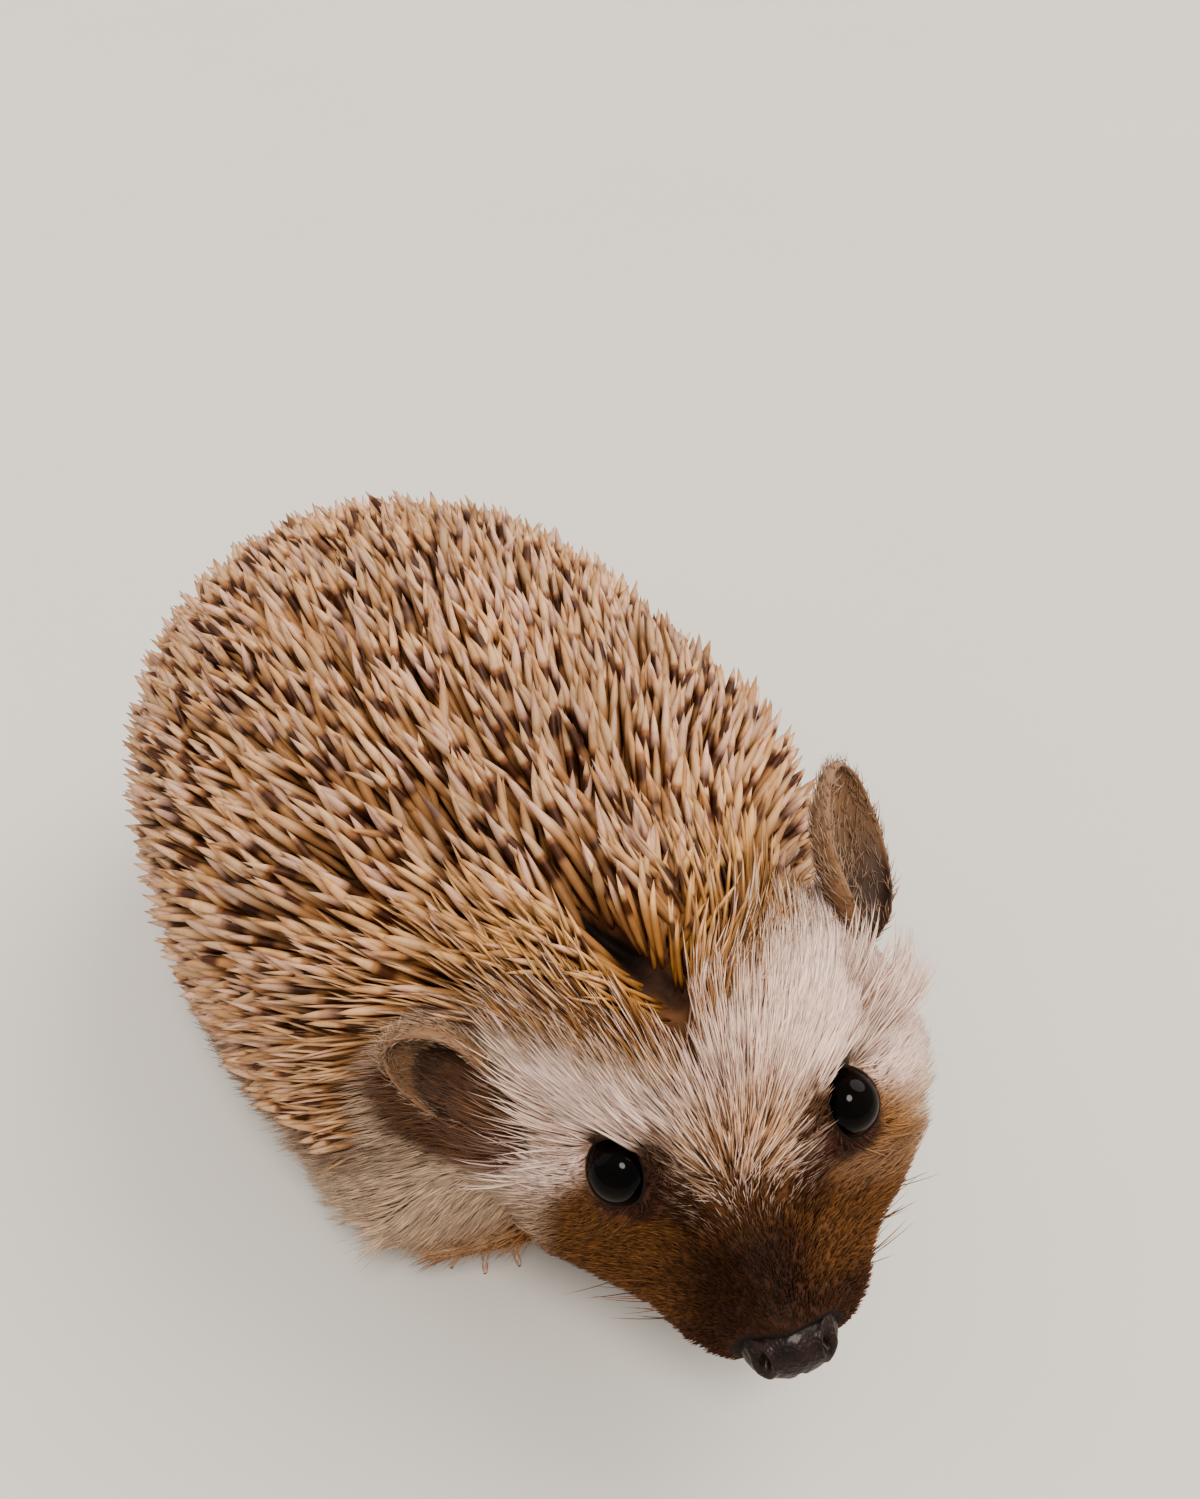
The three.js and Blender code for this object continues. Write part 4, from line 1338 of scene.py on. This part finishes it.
crownPlan = {
    "pieces": ["crown_spines"], "slot": "spines", "material": "spineKeratin", "pole": "head",
    "where": lambda at: (at["spiny"] > 0.4) * (at["up"] > -12) * fading(-at["front"], 17, 23)
    * at["haired"] * at["clearOfEar"],
    "gap": 0.8, "count": 22000, "length": (8.0, 12.0), "radius": 0.36, "sides": 5, "rings": 5,
    "profile": ((0, 0.1, 0.35, 0.7, 0.9, 1), (0.6, 0.8, 1.0, 0.9, 0.45, 0.05)),
    "rise": (0.7, 1.0), "proud": (-0.2, 0.5), "lean": 0.5, "bow": 0.05, "jitter": 12.0, "earGap": 0.3,
    "bandShift": 0.1, "bandDrift": 0.06,
    "radiusOf": lambda at: mixed(0.55, 1.35, ramp(at["past"], 2, 14)),
    "plainOf": lambda at: mixed(0.85, 0.25, ramp(at["past"], 3, 12)),
}
hair = {
    "slot": "face_fur", "material": "paleFur", "pole": "head", "sides": 3, "rings": 3,
    "profile": ((0, 0.3, 0.7, 1), (0.9, 1.0, 0.65, 0.1)),
}
standingHair = {**hair, "rise": (1, 1), "proud": (0, 0), "lean": 0.5}
fanPlan = {
    **hair, "pieces": ["forehead_fur"], "material": "fanFur",
    "where": lambda at: mixed(1, 0.45, ramp(at["across"], 7, 13)) * fading(at["across"], 15, 19)
    * ramp(at["up"], -1, 3) * fading(at["past"], 0, 3.5) * fading(at["front"], 4, 6) * (1 - at["ring"])
    * ramp(at["eyeGap"], 4.5, 6.5) * fading(at["dusk"], 0.3, 0.6) * at["haired"],
    "count": 4400, "length": (7, 12.5), "radius": 0.19, "rings": 4, "rise": (0.4, 1.0), "proud": (-0.1, 0.7),
    "lean": 0.45, "bow": 0.06, "jitter": 7.0, "clump": {"each": 6, "pull": 0.7},
    "partingClear": 0.97, "shadeClear": 0.75,
    "lengthOf": lambda at: mixed(0.45, 1.0, ramp(-at["front"], -6, 2)),
}
browPlan = {
    **hair, "pieces": ["brow_fur"],
    "where": lambda at: at["face"] * ramp(at["up"], -5, 0) * ramp(at["eyeGap"], 3.7, 4.2)
    * mixed(1, 0.8, ramp(at["past"], -4, -1)) * mixed(0.4, 1, ramp(at["across"], 4, 9)),
    "count": 11800, "length": (3.4, 6.0), "radius": 0.095, "rise": (0.35, 1.0), "proud": (-0.1, 0.35),
    "bow": 0.08, "jitter": 10.0, "clump": {"each": 8, "pull": 0.5}, "shadeClear": 0.75,
    "lengthOf": lambda at: mixed(0.3, 1.0, ramp(at["eyeGap"], 4.5, 9)),
}
cheekPlan = {
    **hair, "pieces": ["cheek_fur_right", "cheek_fur_left"],
    "where": lambda at: at["cheek"] * ramp(at["z"], 4, 8),
    "count": 14000, "length": (4.5, 8.0), "radius": 0.11, "rise": (0.3, 1.0), "proud": (-0.2, 0.7),
    "bow": 0.09, "jitter": 10.0, "clump": {"each": 11, "pull": 0.6},
}
skirtPlan = {
    **hair, "pieces": ["skirt_fur_right", "skirt_fur_left"], "pole": "body",
    "where": lambda at: (1 - at["spiny"]) * (1 - at["limb"]) * at["haired"] * (at["y"] >= -27)
    * (1 - at["cheek"]) * mixed(0.35, 1.0, ramp(at["z"], 4, 9)),
    "count": 16000, "length": (6, 10), "radius": 0.13, "rise": (0.3, 1.0), "proud": (-0.3, 1.5),
    "bow": 0.08, "jitter": 10.0, "clump": {"each": 11, "pull": 0.65},
    "lengthOf": lambda at: mixed(1.0, 1.25, at["belly"]),
}
fringePlan = {
    **standingHair, "pieces": ["skirt_fringe"], "pole": "body",
    "where": lambda at: bell(at["z"], mixed(8, 12.5, ramp(-at["y"], 22, 34)), 3)
    * within(at["facingUp"], -0.7, -0.3, 0.2, 0.5) * (1 - at["foot"]) * at["haired"]
    * mixed(1, 2.5, ramp(-at["y"], 22, 32) * (at["x"] < -8)),
    "count": 2000, "length": (4.5, 9.0), "radius": 0.1, "bow": 0.1, "jitter": 16.0, "stand": 0.22,
    "clump": {"each": 5, "pull": 0.55},
}
maskPlan = {
    **hair, "pieces": ["mask_fur_right", "mask_fur_left"], "slot": "mask_fur", "material": "maskFur",
    "where": lambda at: np.clip(at["mask"] + ramp(at["front"], 3, 5), 0, 1) * (1 - at["spiny"])
    * ramp(at["eyeGap"], 3.5, 3.8) * ramp(at["noseShare"], 1.04, 1.15) * at["haired"],
    "count": 15000, "length": (1.5, 2.5), "radius": 0.075, "rise": (0.5, 1.0), "proud": (-0.05, 0.2),
    "bow": 0.1, "jitter": 14.0, "clump": {"each": 5, "pull": 0.25},
    "lengthOf": lambda at: mixed(0.45, 1.15, ramp(-at["front"], -15, -1))
    * mixed(0.5, 1.0, ramp(at["eyeGap"], 4.3, 7)),
}
legPlan = {
    **hair, "pieces": ["leg_fur"], "pole": "body",
    "where": lambda at: at["limb"] * fading(at["foot"], 0.3, 0.7) * (1 - at["tail"]),
    "count": 4200, "length": (2.0, 3.6), "radius": 0.1, "rise": (0.4, 1.0), "proud": (-0.1, 0.2),
    "bow": 0.08, "jitter": 12.0, "clump": {"each": 5, "pull": 0.4},
}
whiskerPlan = {
    **standingHair, "pieces": ["whiskers"], "slot": "mask_fur", "material": "maskFur",
    "sides": 4, "rings": 6,
    "where": lambda at: within(at["front"], 8, 10, 13, 15) * ramp(at["across"], 3.5, 5)
    * within(at["up"], -11, -9, -6, -4),
    "count": 34, "length": (3.5, 6.5), "radius": 0.05, "bow": 0.05, "jitter": 12.0, "stand": 0.75,
}
earFringePlan = {  # hair that stands before each ear and crosses its hollow
    **standingHair, "pieces": ["ear_fringe"], "rings": 4,
    "where": lambda at: at["beforeEar"] * at["haired"],
    "reach": (3.0, 4.0, 6.5, 8.5), "toFace": (-0.1, 0.45),
    "count": 620, "length": (5.0, 9.5), "radius": 0.1, "bow": 0.12, "jitter": 12.0, "stand": 0.32,
    "clump": {"each": 4, "pull": 0.5}, "shadeClear": 0.6,
}
earDownPlan = {  # fine short hair on both faces of each ear
    **hair, "count": 1500, "length": (0.9, 2.2), "radius": 0.045, "thickness": (0.8, 1.2),
    "stand": 0.28, "stray": 0.35, "bow": 0.08, "brown": 0.5,
}


def growEarDown(materials):
    plan = earDownPlan
    parts = {k: [] for k in ("root", "normal", "along")}
    for side in handOf:
        ear = earSurface[side]
        points, triangles = ear["points"], ear["triangles"]
        found = scatter({
            "triangles": triangles, "inner": points, "outer": points, "depth": np.zeros(len(points)),
            "normals": normalsOf(points, triangles),
        }, plan["count"], np.ones(len(points)))
        found["along"] = np.tile(ear["along"], (plan["count"], 1))
        for k in parts:
            parts[k].append(found[k])
    root, normal, along = (np.concatenate(part) for part in parts.values())
    count = len(root)
    lie = squareTo(along + plan["stray"] * chance.standard_normal((count, 3)), normal)
    length = chance.uniform(*plan["length"], count)[:, None]
    tip = root + unit(lie + normal * plan["stand"]) * length
    control = mixed(root, tip, 0.5) + normal * plan["bow"] * length
    values = {k: np.zeros(count) for k in (*coatMarks, "pale")}
    values["rustShade"] = np.full(count, plan["brown"])
    values["tint"] = chance.random(count)
    radius = plan["radius"] * chance.uniform(*plan["thickness"], count)
    strands = {"root": root, "control": control, "tip": tip, "normal": normal, "radius": radius}
    needles("ear_down", plan, strands, values, materials[plan["material"]])


def placesOf(body):  # shares over the skin, from which each coat's plan says where it grows
    outer = body["outer"]
    at = dict(body["places"])
    at["x"], at["y"], at["z"] = outer.T
    at["facingUp"] = body["normals"][:, 2]
    at["noseShare"] = noseShare(outer)
    at["limb"] = np.clip(at["leg"] + at["foot"] + at["tail"], 0, 1)
    at["haired"] = (1 - at["bare"]) * fading(at["foot"], 0.2, 0.5) * fading(at["tail"], 0.3, 0.7)
    at["face"] = (1 - at["spiny"]) * (1 - at["mask"]) * at["haired"] * (1 - at["limb"])
    at["face"] = at["face"] * ramp(at["front"], -18, -14)
    at["cheek"] = at["face"] * fading(at["up"], -5, 0) * (at["y"] < -24)
    at["clearOfEar"], at["beforeEar"] = np.ones(len(outer)), np.zeros(len(outer))
    for root in earRoot.values():
        far = distance(outer, root)
        toFace = ramp(unit(outer - root) @ unit(fanRoot - root), *earFringePlan["toFace"])
        at["clearOfEar"] *= ramp(far, 4.0, 5.5)
        at["beforeEar"] = np.maximum(at["beforeEar"], within(far, *earFringePlan["reach"]) * toFace)
    return at


def growAll(body):
    places = placesOf(body)
    materials = {"spineKeratin": spineMaterial()} | {name: furMaterial(name) for name in furFinish}
    for plan in (spinePlan, crownPlan, fanPlan, earFringePlan):
        growCoat(body, places, plan, materials)
    growEarDown(materials)
    for plan in (browPlan, cheekPlan, skirtPlan, fringePlan, maskPlan, whiskerPlan, legPlan):
        growCoat(body, places, plan, materials)
    most = max(coatTriangles.values())
    print(f"hedgehog: coat triangles {sum(coatTriangles.values())}, most in one piece {most}")


def buildEye(name, material):
    _, _, gaze = axesOfEye(name)
    points, faces = ballArrays(np.zeros(3), np.full(3, eyePlan["radius"]), detail=5)
    d = unit(points)
    bulge = eyePlan["cornea"] * ramp(d @ gaze, *eyePlan["corneaEdge"])
    piece = newPiece(f"eyeball_{name}", eyeMiddle[name] + points + d * bulge[:, None], faces)
    piece.data.materials.append(material)
    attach(piece, "root")
    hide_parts(f"eye_{name}")


nosePlan = {
    "voxel": 0.17, "nostril": (2.9, 1.0, 1.5), "nostrilRadii": (0.7, 1.35, 1.1), "nostrilDepth": 1.1,
    "nostrilEdge": (0.5, 1.05), "comma": 0.25,  # the opening bends outwards towards the back
    "wing": 0.28, "wingPlace": (1.35, 0.3),
    "groove": 0.34, "grooveWidth": 0.3, "grooveUp": (0.0, 1.4), "grooveFront": (0.5, 1.5),
    "saddle": 0.3, "saddlePlace": (-1.6, 1.1), "saddleUp": (1, 2.4), "pebble": (0.05, 0.9, 4),
}


def buildNose(material):
    plan = nosePlan
    nose = remeshed("nose_pad", [ballArrays(noseMiddle, noseRadii, headAxes, 4)], plan["voxel"])
    points, triangles = meshArrays(nose.data)
    points = smoothed(points, edgeArray(nose.data), 3)
    side, front, up = ((points - noseMiddle) @ headAxes.T).T
    push = waver(points, plan["pebble"])
    for hand in handOf.values():
        x, y, z = np.array(plan["nostril"]) * (hand, 1, 1)
        bent = side - x - hand * plan["comma"] * (front - y) ** 2 * (front < y)
        e = np.linalg.norm(np.stack([bent, front - y, up - z], 1) / plan["nostrilRadii"], axis=1)
        push -= plan["nostrilDepth"] * fading(e, *plan["nostrilEdge"])
        push += plan["wing"] * bell(e, *plan["wingPlace"])
    groove = bell(side, 0, plan["grooveWidth"]) * fading(up, *plan["grooveUp"])
    push -= plan["groove"] * groove * ramp(front, *plan["grooveFront"])
    push -= plan["saddle"] * bell(front, *plan["saddlePlace"]) * ramp(up, *plan["saddleUp"])
    setPoints(nose.data, points + normalsOf(points, triangles) * push[:, None])
    nose.data.materials.append(material)
    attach(nose, "root")
    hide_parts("nose")


def finishClaws(material):
    for name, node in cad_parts.items():
        if "claw" in name:
            node.data.materials.clear()
            node.data.materials.append(material)
            rounder = node.modifiers.new("rounder", "SUBSURF")
            rounder.levels = rounder.render_levels = 2


cameraPlan = {
    "heading": -27.9, "pitch": 42.6, "roll": 1.8, "lens": 28.82, "sensor": 36, "nearest": 0.005,
    "distance": 150.7, "right": -13.04, "up": -11.68,  # where the body's middle lies from the lens
}


def buildCamera():
    plan = cameraPlan
    heading, pitch, roll = (math.radians(plan[k]) for k in ("heading", "pitch", "roll"))
    level, above = np.array([-math.sin(heading), math.cos(heading), 0]), np.array([0, 0, 1])
    look = math.cos(pitch) * level - math.sin(pitch) * above
    up = math.sin(pitch) * level + math.cos(pitch) * above
    right = np.cross(look, up)
    up, right = (
        math.cos(roll) * up + math.sin(roll) * right, math.cos(roll) * right - math.sin(roll) * up,
    )
    place = cadMiddle - plan["distance"] * look - plan["right"] * right - plan["up"] * up
    camera = placed("camera", bpy.data.cameras.new("camera"))
    camera.data.lens = plan["lens"]
    camera.data.sensor_width = plan["sensor"]
    camera.data.clip_start = plan["nearest"]
    turn = Matrix((right, up, -look)).transposed()
    camera.matrix_world = Matrix.Translation(Vector(place * mm)) @ turn.to_4x4()
    bpy.context.scene.camera = camera


studio = {  # the floor in metres, the lamps' places in centimetres
    "floor": 4.0, "floorGrain": (6, 4, 0.5),
    "floorColours": (colour(206, 201, 194), colour(214, 210, 204)),
    "world": {"Color": (1.0, 0.97, 0.94, 1), "Strength": 0.62}, "look": "AgX - Medium High Contrast",
    "lights": {
        "key": {"from": (-6, -40, 100), "spread": 19, "strength": 1.9, "colour": (1.0, 0.945, 0.865)},
        "soft": {"from": (75, 10, 80), "spread": 45, "strength": 1.75, "colour": (1.0, 0.955, 0.895)},
        "back": {"from": (-60, 90, 70), "spread": 60, "strength": 0.5, "colour": (0.95, 0.97, 1.0)},
    },
}


def buildStudio():
    bm = bmesh.new()
    bmesh.ops.create_grid(bm, x_segments=8, y_segments=8, size=studio["floor"])
    mesh = bpy.data.meshes.new("floor")
    bm.to_mesh(mesh)
    bm.free()
    material, tree, shader = newMaterial("paleFloor", {"Roughness": 0.8, "Specular IOR Level": 0.15})
    cloudy = noise(tree, *studio["floorGrain"], objectPlace(tree))
    whole = blendColour(tree, cloudy, *studio["floorColours"])
    tree.links.new(whole, shader.inputs["Base Color"])
    mesh.materials.append(material)
    placed("floor", mesh)
    world = bpy.data.worlds.new("studio")
    world.use_nodes = True
    for key, given in studio["world"].items():
        world.node_tree.nodes["Background"].inputs[key].default_value = given
    bpy.context.scene.world = world
    bpy.context.scene.view_settings.look = studio["look"]
    for name, plan in studio["lights"].items():
        light = bpy.data.lights.new(name, "SUN")
        light.angle = math.radians(plan["spread"])
        light.energy = plan["strength"]
        light.color = plan["colour"]
        lamp = placed(name, light)
        comes = Vector(plan["from"])
        lamp.location = comes * 0.01
        lamp.rotation_euler = comes.to_track_quat("Z", "Y").to_euler()


buildCamera()
buildStudio()
report("camera and studio set")
skin, body = buildSkin()
skin.data.materials.append(skinMaterial())
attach(skin, "root")
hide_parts(*skinPlan["flesh"])
report("skin shaped")
earSkin, wetEye = earMaterial(), glossMaterial("wetEye")
for side in handOf:
    buildEar(side, earSkin)
for side in handOf:
    buildEye(side, wetEye)
buildNose(glossMaterial("moistNose"))
finishClaws(glossMaterial("clawHorn"))
report("eyes, ears, nose and claws made")
growAll(body)

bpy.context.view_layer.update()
report("done")
